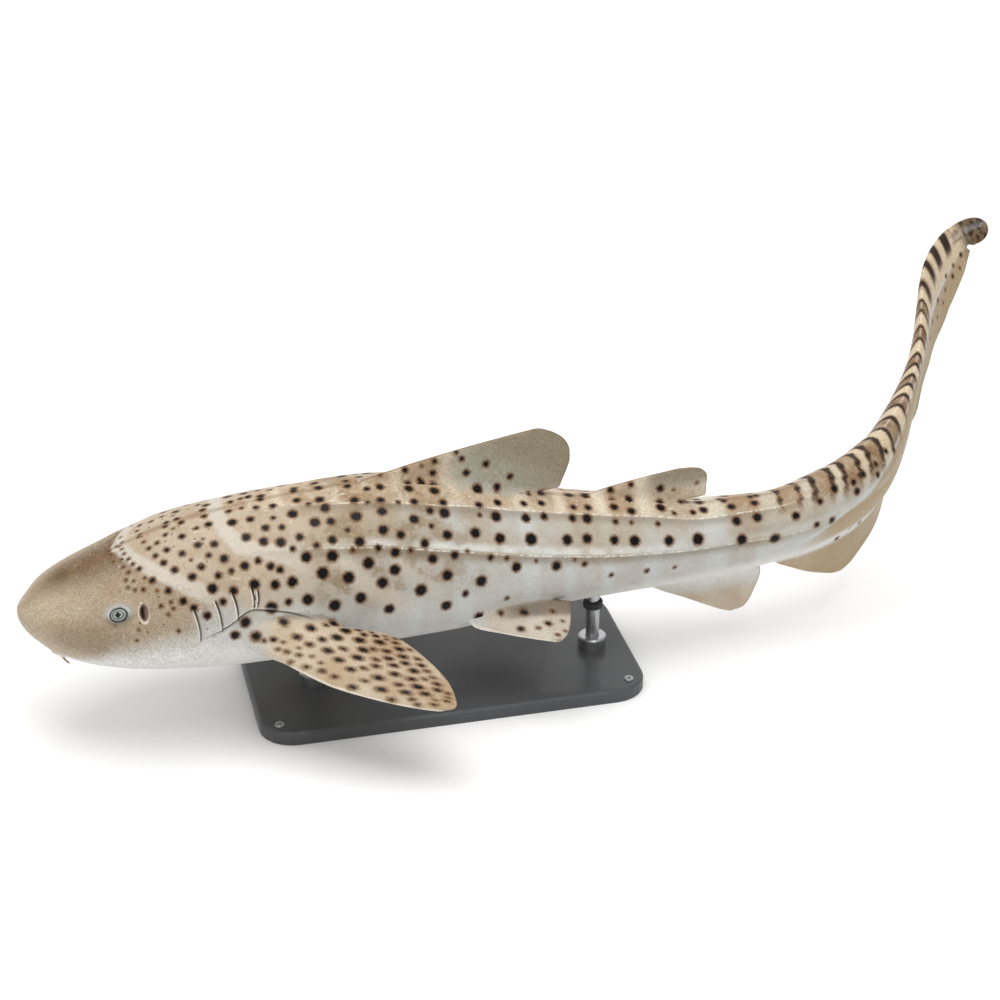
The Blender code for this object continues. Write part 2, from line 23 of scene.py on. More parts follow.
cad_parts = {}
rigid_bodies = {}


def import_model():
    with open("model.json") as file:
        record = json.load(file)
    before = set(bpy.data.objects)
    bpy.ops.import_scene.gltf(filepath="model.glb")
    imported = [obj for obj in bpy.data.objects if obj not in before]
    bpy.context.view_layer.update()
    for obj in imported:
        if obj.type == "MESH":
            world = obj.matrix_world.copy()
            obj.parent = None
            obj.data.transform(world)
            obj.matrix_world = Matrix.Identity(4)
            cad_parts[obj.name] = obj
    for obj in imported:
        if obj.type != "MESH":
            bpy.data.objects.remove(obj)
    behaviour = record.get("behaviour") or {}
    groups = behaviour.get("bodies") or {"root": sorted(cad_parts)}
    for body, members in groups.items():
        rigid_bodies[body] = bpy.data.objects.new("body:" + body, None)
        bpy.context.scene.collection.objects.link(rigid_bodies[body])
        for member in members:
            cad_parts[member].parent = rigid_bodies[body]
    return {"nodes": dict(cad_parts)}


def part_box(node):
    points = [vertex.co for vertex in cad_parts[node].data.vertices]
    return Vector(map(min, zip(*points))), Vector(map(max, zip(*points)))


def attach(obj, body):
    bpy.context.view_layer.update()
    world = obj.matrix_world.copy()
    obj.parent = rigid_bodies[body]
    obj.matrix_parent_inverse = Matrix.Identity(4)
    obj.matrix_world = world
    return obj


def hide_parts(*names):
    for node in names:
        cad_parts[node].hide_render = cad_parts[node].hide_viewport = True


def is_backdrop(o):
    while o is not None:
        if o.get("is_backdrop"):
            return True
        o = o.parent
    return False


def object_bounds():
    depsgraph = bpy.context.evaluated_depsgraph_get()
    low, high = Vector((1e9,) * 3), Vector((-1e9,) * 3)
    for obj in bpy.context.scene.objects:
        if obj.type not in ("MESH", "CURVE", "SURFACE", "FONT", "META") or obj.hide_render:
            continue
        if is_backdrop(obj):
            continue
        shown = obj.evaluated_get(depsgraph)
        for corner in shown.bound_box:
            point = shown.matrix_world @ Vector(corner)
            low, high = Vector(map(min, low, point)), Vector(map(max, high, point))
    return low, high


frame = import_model()
cad_low, cad_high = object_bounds()
print("nodes:", len(frame["nodes"]), "box:", [round(v, 3) for v in cad_high - cad_low])

# %% [markdown]
# ## Camera
#
# The camera is made first, so that every later step can be judged through it. A long lens well away
# from the fish keeps its perspective mild. The aim and the way back to the lens are all that it needs,
# because `to_track_quat` turns a direction into a rotation.

# %% Place the camera
CAMERA_AZIMUTH = -13.7
CAMERA_ELEVATION = 28.0
CAMERA_DISTANCE = 1.968
CAMERA_AIM = Vector((-0.1069, -0.1436, 0.1949))
CAMERA_LENS = 85.0

swing, rise = math.radians(CAMERA_AZIMUTH), math.radians(CAMERA_ELEVATION)
way_back = Vector((math.sin(swing) * math.cos(rise), -math.cos(swing) * math.cos(rise), math.sin(rise)))
camera = bpy.data.objects.new("camera", bpy.data.cameras.new("camera"))
bpy.context.scene.collection.objects.link(camera)
camera.data.lens = CAMERA_LENS
camera.location = CAMERA_AIM + way_back * CAMERA_DISTANCE
camera.rotation_mode = "QUATERNION"
camera.rotation_quaternion = (-way_back).to_track_quat("-Z", "Y")
bpy.context.scene.camera = camera
print("camera at", [round(v, 3) for v in camera.location])

# %% [markdown]
# ## The fish's own line and sections
#
# A fish is a loft: a spine that swings, and a section at every station along it. The same few numbers
# made the imported solids, so the skin fits them. `smooth` joins given values without overshoot,
# which a plain spline doesn't promise, and a section is a superellipse whose power says how square it is.

# %% Sizes that drive everything
TOTAL_LENGTH = 1.200
PERCENT = 0.01
FIN_EDGE = 0.0012
MM = 0.001 / TOTAL_LENGTH
NOSE = (-0.5087, -0.0966, 0.1160)

# How the spine swings: station along the body, then heading, pitch and roll there.
SPINE = (
    (0, 0, 0, 0), (46, 0, 0, 0), (52, 0, 0, -3), (58, 16, 3, -4), (64, 37.4, 5.6, -6), (70, 53.1, 14, 1),
    (77, 56.2, 19.1, 14), (84, 64.4, 18.9, -7), (92, 50.1, 14.6, -31.5), (100, 18.6, -0.7, -37.1),
)

# The body's sections: station, half width, rise of the back and drop of the belly from the spine line,
# then how square the back and the belly are (2 is an ellipse).
BODY = (
    (0, 0, 0, 0, 2, 2), (0.6, 1.9, 0.7, 1.35, 2, 2.1), (1.8, 3.4, 1.85, 2.35, 2, 2.2),
    (3.5, 4.6, 2.7, 3.1, 2, 2.4), (5.5, 5.5, 3.45, 3.55, 2, 2.5), (8, 6.1, 4.55, 3.9, 2, 2.6),
    (11, 6.4, 5.6, 4.2, 2.05, 2.6), (15, 6.35, 6.35, 4.6, 2.05, 2.5), (20, 6.1, 6.9, 4.7, 2, 2.4),
    (25, 5.75, 7.15, 4.65, 1.95, 2.3), (30, 5.4, 6.55, 4.6, 1.9, 2.2), (35, 4.8, 5.25, 4.2, 1.9, 2.1),
    (40, 4.15, 4.1, 3.8, 1.9, 2.1), (45, 3.45, 3.25, 3.85, 1.9, 2), (50, 2.9, 2.25, 3.75, 1.9, 1.9),
    (55, 2.4, 2.25, 3.3, 1.9, 1.8), (60, 2.08, 2.75, 2.85, 1.9, 1.8), (65, 1.86, 2.7, 2.6, 1.9, 1.8),
    (70, 1.43, 2.05, 1.75, 1.9, 1.8), (80, 0.65, 0.79, 0.72, 1.9, 1.9), (90, 0.53, 1.35, 1.27, 1.9, 1.9),
    (100, 0.25, 1.15, 0.6, 2, 2),
)

print("length", TOTAL_LENGTH, "m, stations given:", len(BODY))

# %% A cubic that never overshoots
def smooth(stations, values, x):
    """Values joined through their stations by a cubic that never overshoots them."""
    xs = np.asarray(stations, float)
    ys = np.asarray(values, float)
    x = np.clip(np.asarray(x, float), xs[0], xs[-1])
    step = np.diff(xs)
    slope = np.diff(ys) / step
    grade = np.zeros_like(ys)
    for i in range(1, len(xs) - 1):
        if slope[i - 1] * slope[i] > 0:
            w1 = 2 * step[i] + step[i - 1]
            w2 = step[i] + 2 * step[i - 1]
            grade[i] = (w1 + w2) / (w1 / slope[i - 1] + w2 / slope[i])
    grade[0] = slope[0]
    grade[-1] = slope[-1]
    i = np.clip(np.searchsorted(xs, x, side="right") - 1, 0, len(step) - 1)
    t = (x - xs[i]) / step[i]
    h = step[i]
    return (ys[i] * (1 + 2 * t) * (1 - t) ** 2 + grade[i] * h * t * (1 - t) ** 2
            + ys[i + 1] * t * t * (3 - 2 * t) + grade[i + 1] * h * t * t * (t - 1))

# %% The spine and how a straight fish is bent onto it
SPINE_STEPS = 600
SPINE_S = np.linspace(-0.02, 1.04, SPINE_STEPS + 1)


def spine_frames():
    """Points along the spine, and the directions to the fish's right and to its back."""
    station, *turns = np.array(SPINE, float).T
    heading, pitch, roll = [np.radians(smooth(station * PERCENT, turn, SPINE_S)) for turn in turns]
    ahead = np.stack([np.cos(heading) * np.cos(pitch), np.sin(heading) * np.cos(pitch), np.sin(pitch)], -1)
    side = np.stack([-np.sin(heading), np.cos(heading), 0 * heading], -1)
    up = np.cross(ahead, side)
    side_rolled = side * np.cos(roll)[:, None] + up * np.sin(roll)[:, None]
    up_rolled = up * np.cos(roll)[:, None] - side * np.sin(roll)[:, None]
    points = np.zeros_like(ahead)
    points[1:] = np.cumsum((ahead[1:] + ahead[:-1]) / 2, axis=0) * (SPINE_S[1] - SPINE_S[0]) * TOTAL_LENGTH
    nose = [np.interp(0.0, SPINE_S, points[:, k]) for k in range(3)]
    return points + np.array(NOSE) - nose, side_rolled, up_rolled


SPINE_POINT, SPINE_SIDE, SPINE_UP = spine_frames()


def bend(points):
    """Straight-fish points (along it, to its right, to its back, in lengths) put on the bent spine."""
    points = np.asarray(points, float)
    base, side, up = [np.stack([np.interp(points[:, 0], SPINE_S, row[:, k]) for k in range(3)], -1)
                      for row in (SPINE_POINT, SPINE_SIDE, SPINE_UP)]
    return base + (side * points[:, 1:2] + up * points[:, 2:3]) * TOTAL_LENGTH


print("the tip of the tail lies at", np.round(bend([(1.0, 0.0, 0.0)])[0], 3))

# %% The body's sections
def body_sizes(u):
    """Half width, back rise, belly drop and the two powers at a station; the nose is blunt by the root."""
    station, width, rise, drop, back, belly = np.array(BODY, float).T
    known = np.sqrt(station * PERCENT)
    at = np.sqrt(np.clip(u, 0.0, 1.0))
    sizes = [smooth(known, row * PERCENT, at) for row in (width, rise, drop)]
    return sizes + [smooth(known, row, at) for row in (back, belly)]


# The terminal lobe behind the notch: station, rise of its upper edge and drop of its lower edge.
LOBE = (
    (96.9, 1.18, 0.9), (97.6, 1.15, 1.2), (98.4, 1.08, 1.2), (99.1, 0.92, 1.05), (99.7, 0.6, 0.7),
    (100, 0.2, 0.3),
)
LOBE_FULL_WIDTH = (0.0034, 0.0008)


def tail_tip_sizes(u):
    """The body's sizes, with the flat terminal lobe taking over behind the notch."""
    width, rise, drop, back, belly = body_sizes(u)
    station, lobe_rise, lobe_drop = np.array(LOBE, float).T * PERCENT
    share = ramp(0.945, 0.972, u)
    flat = np.interp(u, (0.95, 1.0), LOBE_FULL_WIDTH)
    width = width * (1 - share) + flat * share
    rise = rise * (1 - share) + smooth(station, lobe_rise, u) * share
    drop = drop * (1 - share) + smooth(station, lobe_drop, u) * share
    return width, rise, drop, back, belly


def skin_yz(u, t, hand):
    """Where the skin is at station u and angle t above the widest line, on the left (-1) or right (+1)."""
    width, rise, drop, back, belly = tail_tip_sizes(u)
    c, s = np.cos(t), np.sin(t)
    power = np.where(s >= 0, back, belly)
    height = np.where(s >= 0, rise, drop)
    y = hand * width * np.sign(c) * np.abs(c) ** (2 / power)
    return y, height * np.sign(s) * np.abs(s) ** (2 / power)


def skin_angle(points):
    """The angle above the widest line of points on or over the skin."""
    width, rise, drop, back, belly = tail_tip_sizes(points[:, 0])
    power = np.where(points[:, 2] >= 0, back, belly)
    width = np.maximum(width, 1e-6)
    height = np.maximum(np.where(points[:, 2] >= 0, rise, drop), 1e-6)
    s = np.sign(points[:, 2]) * np.abs(points[:, 2] / height) ** (power / 2)
    return np.arctan2(s, np.abs(points[:, 1] / width) ** (power / 2))


def ramp(low, high, x):
    """0 below low, 1 above high, and a soft step between."""
    v = np.clip((np.asarray(x, float) - low) / (high - low), 0.0, 1.0)
    return v * v * (3 - 2 * v)


def fall(low, high, x):
    """1 below low, 0 above high, and a soft step between."""
    return 1 - ramp(low, high, x)


def window(start, full, last, end, x):
    """1 between full and last, with soft steps up from start and down to end."""
    return ramp(start, full, x) * fall(last, end, x)


def bump(x, middle, spread):
    """A soft bell of height 1."""
    return np.exp(-(((np.asarray(x, float) - middle) / spread) ** 2))


y, z = skin_yz(np.array([0.2]), np.radians([90.0]), -1)
print("the back is highest, in lengths over the spine:", round(float(z[0]), 4))

# %% [markdown]
# ## The grid of the body
#
# A skin needs small faces only where something small is carved. So the rings stand close together from
# the eye to the last gill slit and further apart behind it, and every ring drops half its points where
# the body gets plain, first behind the gills and again in the tail. The points round a ring are not
# spread evenly either: fixed shares of them lie above, between and below the two long ridges of each
# side, so that a row of edges runs exactly along each ridge and keeps it crisp.

# %% Where the two ridges of each side run
# Station in percent, and the angle above the widest line.
UPPER_RIDGE = (
    (0, 87), (8, 88), (10, 88), (14, 84.5), (18, 79), (22, 71), (26, 65.5), (30, 62.3), (35, 62.5),
    (40, 61), (44, 57.5), (50, 54), (60, 52), (100, 52),
)
LOWER_RIDGE = (
    (0, 49), (15, 49), (19, 45), (23, 39.5), (28, 33.5), (33, 28), (38, 21.5), (43, 13), (50, 3),
    (55, -3), (62, -6), (100, -6),
)
GRID_RIDGE_LIMIT = 82.0


def ridge_angle(rows, u):
    """A ridge's angle at station u, in radians."""
    station, angle = np.array(rows, float).T
    return np.radians(smooth(station * PERCENT, angle, u))


print("upper ridge at a third:", round(math.degrees(ridge_angle(UPPER_RIDGE, 0.33)), 1), "degrees")

# %% Where the rings stand
# Station in percent, and the step to the next ring in millimetres.
RING_STEPS = (
    (0, 1.5), (5, 1.4), (5.3, 0.85), (9.2, 0.95), (11, 0.95), (16.8, 0.95), (18, 2.3), (50, 2.7),
    (100, 2.7),
)
NOSE_SPREAD = 0.0105
FIRST_RING = 0.0004
LAST_RING = 0.9992
HALVED_AT = (0.178, 0.50)
HALF_RING = (12, 32, 68)


def ring_stations():
    """Stations of the rings; near the nose they crowd, because the nose is blunt."""
    station, step = np.array(RING_STEPS, float).T
    rows = [FIRST_RING]
    while rows[-1] < LAST_RING:
        wanted = np.interp(rows[-1] / PERCENT, station, step) * MM
        rows.append(min(rows[-1] + min(wanted, NOSE_SPREAD * math.sqrt(rows[-1])), LAST_RING))
    return np.array(rows)


def point_density(u, t):
    """How much closer together the points of a ring are at an angle."""
    face = window(-16, -8, 44, 52, t) * fall(0.168, 0.182, u)
    flank = ramp(-30, -18, t) * window(0.168, 0.182, 0.55, 0.60, u)
    mouth = fall(-55, -40, t) * fall(0.075, 0.10, u)
    return 1 + 0.9 * face + 1.3 * flank + 0.5 * mouth


def half_ring_angles(u):
    """Angles from the back down to the belly, with a point exactly on each ridge."""
    upper = min(float(ridge_angle(UPPER_RIDGE, u)), math.radians(GRID_RIDGE_LIMIT))
    lower = float(ridge_angle(LOWER_RIDGE, u))
    corners = (math.pi / 2, upper, lower, -math.pi / 2)
    angles = []
    for start, end, count in zip(corners[:-1], corners[1:], HALF_RING):
        t = np.linspace(start, end, 12 * count)
        y, z = skin_yz(np.full(len(t), u), t, 1)
        length = np.hypot(np.diff(y), np.diff(z)) * point_density(u, np.degrees((t[1:] + t[:-1]) / 2))
        so_far = np.concatenate([[0.0], np.cumsum(length)])
        angles.append(np.interp(np.linspace(0, so_far[-1], count + 1)[:-1], so_far, t))
    return np.concatenate(angles + [[-math.pi / 2]])


stations = ring_stations()
print("rings:", len(stations))

# %% Lay the rings out and skin them
def body_grid():
    """Station, angle and side of every point, and the faces that join the rings."""
    u_all, t_all, hand_all, rings, faces = [], [], [], [], []
    total = 0
    for u in stations:
        skip = 1 << sum(u > place for place in HALVED_AT)
        half = half_ring_angles(u)[::skip]
        ring_t = np.concatenate([half, half[-2:0:-1]])
        u_all.append(np.full(len(ring_t), u))
        t_all.append(ring_t)
        hand_all.append(np.where(np.arange(len(ring_t)) < len(half), -1.0, 1.0))
        rings.append(np.arange(total, total + len(ring_t)))
        total += len(ring_t)
    for near, far in zip(rings[:-1], rings[1:]):
        after = np.roll(near, -1)
        far_after = np.roll(far, -1)
        if len(near) == len(far):
            faces += [tuple(f) for f in np.stack([near, far, far_after, after], -1)]
        else:
            first, middle, last = near[0::2], near[1::2], np.roll(near[0::2], -1)
            faces += [tuple(f) for f in np.stack([first, far, middle], -1)]
            faces += [tuple(f) for f in np.stack([middle, far_after, last], -1)]
            faces += [tuple(f) for f in np.stack([middle, far, far_after], -1)]
    nose, tip = total, total + 1
    faces += [(nose, a, b) for a, b in zip(rings[0], np.roll(rings[0], -1))]
    faces += [(tip, b, a) for a, b in zip(rings[-1], np.roll(rings[-1], -1))]
    return np.concatenate(u_all), np.concatenate(t_all), np.concatenate(hand_all), faces


grid_u, grid_t, grid_hand, grid_faces = body_grid()
print("points:", len(grid_u), "faces:", len(grid_faces))

# %% [markdown]
# ## Carving the head and the flanks
#
# Sculpting in code means moving each point along the skin's normal by a height that formulas give:
# soft bells for ridges and lips, soft steps for the walls of a socket. All of it happens on the straight
# fish, where "behind the slit" is simply a larger station. The eye sits in a carved socket whose rim is
# raised into lids; the spiracle behind it is a slanting pit; each gill slit is a flap edge that stands
# proud in front of a narrow trench.

# %% Outward directions of the skin
def skin_normal(u, t, hand):
    """Unit directions out of the skin at stations u and angles t."""
    small = 1e-4
    points = []
    for du, dt in ((small, 0), (-small, 0), (0, small), (0, -small)):
        y, z = skin_yz(u + du, t + dt, hand)
        points.append(np.stack([u + du, y, z], -1))
    normal = np.cross(points[0] - points[1], points[2] - points[3]) * -hand[:, None]
    return normal / np.maximum(np.linalg.norm(normal, axis=1), 1e-12)[:, None]


normals = skin_normal(grid_u, grid_t, grid_hand)
print("steepest nose normal:", np.round(normals[0], 2))

# %% Sizes of what is carved
EYE_PLACE = (6.65, 27.0)
EYE_RADII = (0.0096, 0.0062, 0.0073)
EYE_SUNK = 0.0038
EYE_OPENING = (7.6, 5.7)

SPIRACLE_PLACE = (8.33, 24.7)
SPIRACLE_OPENING = (3.9, 7.4)

# Each gill slit: station and height of its top, then of its foot, in percent.
GILL_SLITS = (
    (11.62, 1.95, 11.9, -0.34), (13.1, 2.4, 13.4, 0.18), (14.3, 2.76, 14.52, 0.88),
    (15.62, 3, 15.62, 1.48), (16.02, 2.8, 15.85, 1.5),
)
GILL_REACH = (10.0, 8.5, 8.0, 2.4, 4.0)
GILL_ANGLES = np.radians((-25, 60))

# Creases as station in percent and angle above the widest line.
FOOT_CREASE = (
    (11.9, -1.5), (12.6, 0), (13.3, 2), (13.9, 4.5), (14.45, 7.5), (15, 11), (15.5, 13), (16.2, 12),
    (17.2, 10), (18.1, 8), (18.9, 5.5), (20.5, -0.5), (21.6, -6),
)
CREASE_RADIUS = 72.0
ROOT_WRINKLE = ((13.2, -2.0), (13.4, -8.0), (14.0, -14.0), (14.8, -18.0))

MOUTH_FRONT = 4.6
MOUTH_ARC = 1.6
MOUTH_HALF_WIDTH = 3.6
NOSTRIL_PLACE = (2.85, 2.15)
NASAL_FLAP = (2.35, -50.0)
NASAL_GROOVE = (1.42, -52.0)
MOUTH_CORNER = (5.05, 3.02)
print("gill slits per side:", len(GILL_SLITS))

# %% Distances that carving and painting share
def ridge_offset(rows, u, t, hand):
    """How far above a ridge a point lies, round the section, in millimetres."""
    y, z = skin_yz(u, t, hand)
    ridge_y, ridge_z = skin_yz(u, ridge_angle(rows, u), hand)
    away = np.hypot(y - ridge_y, z - ridge_z) / MM
    return np.where(t > ridge_angle(rows, u), away, -away)


def local_frame(station, angle, hand):
    """A spot on the skin with its directions along the fish, up the skin and out of it."""
    u, t, side = np.array([station * PERCENT]), np.array([math.radians(angle)]), np.array([float(hand)])
    y, z = skin_yz(u, t, side)
    out = skin_normal(u, t, side)[0]
    along = np.array([1.0, 0.0, 0.0])
    along -= out * along.dot(out)
    along /= np.linalg.norm(along)
    up = np.cross(out, along) * -hand
    return np.array([u[0], y[0], z[0]]), along, up, out


def local_position(points, place, hand):
    """Millimetres behind, above and out of a place on the skin."""
    centre, along, up, out = local_frame(*place, hand)
    away = (points - centre) / MM
    return away @ along, away @ up, away @ out


def ring_round(points, hands, place, opening, side):
    """Distance from an opening's middle in shares of its size, on one side, and the two offsets."""
    along, up, _ = local_position(points, place, side)
    ring = np.hypot(along / opening[0], up / opening[1])
    return np.where(hands == side, ring, 99.0), along, up


def nostril_offset(u, y):
    """Millimetres from the middle of a nostril."""
    return np.hypot(u - NOSTRIL_PLACE[0] * PERCENT, np.abs(y) - NOSTRIL_PLACE[1] * PERCENT) / MM


def slit_offsets(u, t, z, slit):
    """Millimetres behind a gill slit, and how well inside its two ends a point is."""
    top_u, top_z, foot_u, foot_z = [value * PERCENT for value in slit]
    share = (z - foot_z) / (top_z - foot_z)
    bow = 0.0012 * 4 * np.clip(share, 0, 1) * (1 - np.clip(share, 0, 1))
    behind = (u - (foot_u + (top_u - foot_u) * share) - bow) / MM
    return behind, window(-0.03, 0.05, 0.95, 1.03, share) * (t > GILL_ANGLES[0]) * (t < GILL_ANGLES[1])


def crease_offset(points, path, hand):
    """Millimetres from points to a crease that runs over the skin on both sides."""
    station, angle = np.array(path, float).T
    share = np.linspace(0, len(path) - 1, 12 * len(path))
    u = np.interp(share, range(len(path)), station * PERCENT)
    t = np.radians(np.interp(share, range(len(path)), angle))
    away = np.full(len(points), 99.0)
    near = np.where((points[:, 0] > u.min() - 0.01) & (points[:, 0] < u.max() + 0.01))[0]
    for side in (-1, 1):
        mine = near[hand[near] == side]
        line = np.stack([u, *skin_yz(u, t, side)], -1)
        away[mine] = np.linalg.norm(points[mine][:, None] - line[None], axis=2).min(1) / MM
    return away


def foot_crease(u, t):
    """Millimetres above the crease along the gills' feet and the fin's root, and where it shows."""
    station, angle = np.array(FOOT_CREASE, float).T
    level = np.interp(u / PERCENT, station, angle)
    rise = np.interp(u / PERCENT, (station[:-1] + station[1:]) / 2, np.diff(angle) / np.diff(station))
    slope = np.arctan(np.radians(rise) * CREASE_RADIUS / (PERCENT / MM))
    shows = window(11.8, 13.6, 18.5, 20.3, u / PERCENT)
    return (t - np.radians(level)) * CREASE_RADIUS * np.cos(slope), shows


def mouth_offset(u, y):
    """Millimetres behind the curved cleft of the mouth."""
    across = np.clip(np.abs(y) / (MOUTH_HALF_WIDTH * PERCENT), 0, 1)
    cleft = (MOUTH_FRONT + MOUTH_ARC * (1 - (1 - across ** 2) ** 0.4)) * PERCENT
    return (u - cleft) / MM


def line_offset(u, y, start, end):
    """Distance in millimetres from a straight crease between two places on the underside."""
    a, b = np.array(start) * PERCENT, np.array(end) * PERCENT
    p = np.stack([u, np.abs(y)], -1)
    share = np.clip(((p - a) @ (b - a)) / ((b - a) @ (b - a)), 0, 1)
    return np.linalg.norm(p - a - share[:, None] * (b - a), axis=1) / MM


print("first slit is", round((GILL_SLITS[0][1] - GILL_SLITS[0][3]) * PERCENT / MM, 1), "mm high")

# %% The heights that the carving gives
def carved_height(u, t, hand, y, z):
    """How far the skin stands over its plain section, in millimetres."""
    points = np.stack([u, y, z], -1)
    height = np.zeros(len(u))
    strength = window(0.10, 0.20, 0.50, 0.60, u)
    upper = ridge_offset(UPPER_RIDGE, u, t, hand)
    lower = ridge_offset(LOWER_RIDGE, u, t, hand)
    height += strength * (1.15 * bump(upper, 0, 2.5) - 0.6 * bump(upper, -7.5, 5.5))
    height += strength * (0.85 * bump(lower, 0, 2.5) - 0.55 * bump(lower, -8.0, 6.0))
    height += 0.8 * bump(np.degrees(t), 90, 7) * window(0.39, 0.41, 0.55, 0.7, u)

    for side in (-1, 1):
        ring, along, up = ring_round(points, hand, EYE_PLACE, EYE_OPENING, side)
        above = ramp(-2, 3, up)
        height += -7.5 * fall(0.80, 1.01, ring) + 1.0 * bump(ring, 1.15, 0.13)
        height += -0.45 * bump(ring, 1.42, 0.11) * above + 0.7 * bump(ring, 1.75, 0.28) * above
        ring, along, up = ring_round(points, hand, SPIRACLE_PLACE, SPIRACLE_OPENING, side)
        slant = np.clip(0.60 - 0.45 * along / SPIRACLE_OPENING[0], 0.12, 1.0)
        height += -7.0 * slant * fall(0.72, 1.0, ring)
        height += 0.9 * bump(ring, 1.2, 0.2) * (0.45 + 0.55 * ramp(-3, 3, along))

    for slit, reach in zip(GILL_SLITS, GILL_REACH):
        behind, inside = slit_offsets(u, t, z, slit)
        flap = np.where(behind < 0, np.exp(np.minimum(behind, 0) / reach), 0.0)
        trench = np.where(behind >= 0, np.exp(-np.maximum(behind, 0) / 1.6), 0.0)
        height += inside * (1.15 * flap - 2.4 * trench)
    crease, shows = foot_crease(u, t)
    height += shows * (1.1 * bump(crease, 1.9, 1.5) - 1.6 * bump(crease, 0, 1.3)) * (u < 0.165)
    height += -0.5 * bump(crease_offset(points, ROOT_WRINKLE, hand), 0, 1.1)

    under = fall(math.radians(-40), math.radians(-20), t)
    cleft = mouth_offset(u, y)
    across = fall(0.92, 1.0, np.abs(y) / (MOUTH_HALF_WIDTH * PERCENT))
    lips = 1.0 * bump(cleft, -2.6, 1.7) + 1.1 * bump(cleft, 3.0, 2.2)
    height += under * across * (lips - 3.0 * bump(cleft, 0, 1.0))
    pit = nostril_offset(u, y)
    height += under * (-2.6 * fall(0.6, 2.2, pit) + 0.6 * bump(pit, 3.8, 1.2))
    for side in (-1, 1):
        for place, amount, spread in ((NASAL_FLAP, 2.6, 4.2), (NASAL_GROOVE, -1.7, 4.0)):
            along, up, _ = local_position(points, place, side)
            height += np.where(hand == side, amount * bump(np.hypot(along, up), 0, spread), 0.0)
    furrow = line_offset(u, y, NOSTRIL_PLACE, MOUTH_CORNER)
    height += under * (-1.5 * bump(furrow, 0, 1.2) + 0.5 * bump(furrow, 3.2, 1.2))
    return height


grid_y, grid_z = skin_yz(grid_u, grid_t, grid_hand)
heights = carved_height(grid_u, grid_t, grid_hand, grid_y, grid_z)
body_points = np.stack([grid_u, grid_y, grid_z], -1) + normals * (heights * MM)[:, None]
body_points = np.concatenate([body_points, [(0.0, 0.0, 0.0), (1.0, 0.0, 0.0)]])
print("carved from", round(heights.min(), 1), "to", round(heights.max(), 1), "mm")

# %% [markdown]
# ## Fins
#
# A fin is a blade: a stack of rows up its span, each a thin lens from the front to the back of its
# chord. A free rear tip, the loose lobe behind the place where a fin leaves the body, needs no special
# care, because the rows above that place simply reach further back. The blades start inside the body,
# so that a boolean union can weld them on.

# %% The outlines of the fins
# A row holds its height above the spine line, then the stations of the chord's front and back, in percent.
FIRST_DORSAL = (
    (4, 25.6, 35.4), (4.75, 25.4, 35.7), (4.9, 25.4, 38.7), (5.5, 25.2, 39), (6.4, 25, 39.35),
    (7.15, 24, 39.55), (7.7, 26.2, 39.55), (8.2, 28.3, 39.45), (8.6, 30.2, 39.25), (9, 32.2, 38.9),
    (9.35, 34.2, 38.4), (9.6, 35.7, 37.9), (9.75, 36.8, 37.5),
)
SECOND_DORSAL = (
    (1.8, 40.5, 47.4), (2.65, 40.5, 47.7), (2.85, 40.5, 49.85), (3.3, 40.5, 49.95), (3.75, 40.5, 49.95),
    (4.1, 40.8, 50), (4.4, 42, 50), (4.7, 43.5, 49.9), (4.95, 45, 49.65), (5.15, 46.4, 49.35),
    (5.26, 47.5, 48.9), (5.3, 48.2, 48.6),
)
ANAL = (
    (-2, 45.4, 52.8), (-3.3, 45.4, 53.1), (-3.5, 45.4, 54.35), (-4, 45.6, 54.35), (-4.7, 46.7, 54.2),
    (-5.4, 48.3, 53.9), (-6.1, 49.8, 53.6), (-6.6, 50.9, 53.25), (-6.9, 51.7, 52.9), (-6.97, 52.1, 52.6),
)

# The paired fins lie on planes that droop away from a root on the body (its distance out and its height).
# A row holds its distance out from the root, then the stations of the chord's front and back, in percent.
PECTORAL_ROOT = (6.34, -0.75)
PECTORAL_DROOP = 20.0
PECTORAL = (
    (-2, 14.9, 20.28), (0, 14.62, 21.98), (0.75, 15.3, 24.28), (1.5, 16.12, 25.38), (2.3, 17.18, 26.08),
    (3.2, 18.13, 26.68), (4.8, 19.98, 27.58), (6, 21.98, 28.03), (6.95, 23.88, 28.16),
    (7.65, 25.58, 28.16), (8, 26.68, 28.03), (8.13, 27.38, 27.73),
)
PELVIC_ROOT = (4.45, -2.23)
PELVIC_DROOP = 20.0
PELVIC = (
    (-1.8, 30.88, 35.68), (-0.6, 30.28, 36.28), (-0.3, 30.38, 38.63), (0.4, 30.88, 38.48),
    (1.06, 31.38, 38.3), (1.79, 32.98, 38.08), (2.47, 34.68, 37.78), (2.9, 35.88, 37.43),
    (3.12, 36.58, 37.13),
)

# The tail fin's lower lobe hangs under the tail from 55 percent on: stations and the drop of its edge.
WEB = (
    (54.8, 3.4), (55.7, 3.7), (56.7, 4.23), (58, 5), (59.3, 5.6), (60.5, 6.1), (61.2, 6.22), (61.9, 6.1),
    (63.7, 5.45), (67, 4.65), (71.8, 3.5), (75, 2.85), (79.1, 2.2), (83, 2.85), (88, 3.5), (90.2, 3.32),
    (93, 2.91), (94.5, 2.55), (95.8, 1.95), (96.85, 1.35),
)

# How far the lower lobe leans over to the fish's left, in degrees from straight down.
WEB_LEAN = ((67.0, 0.0), (72.0, 0.0), (77.0, 35.0), (84.0, 14.0), (90.0, 0.0))


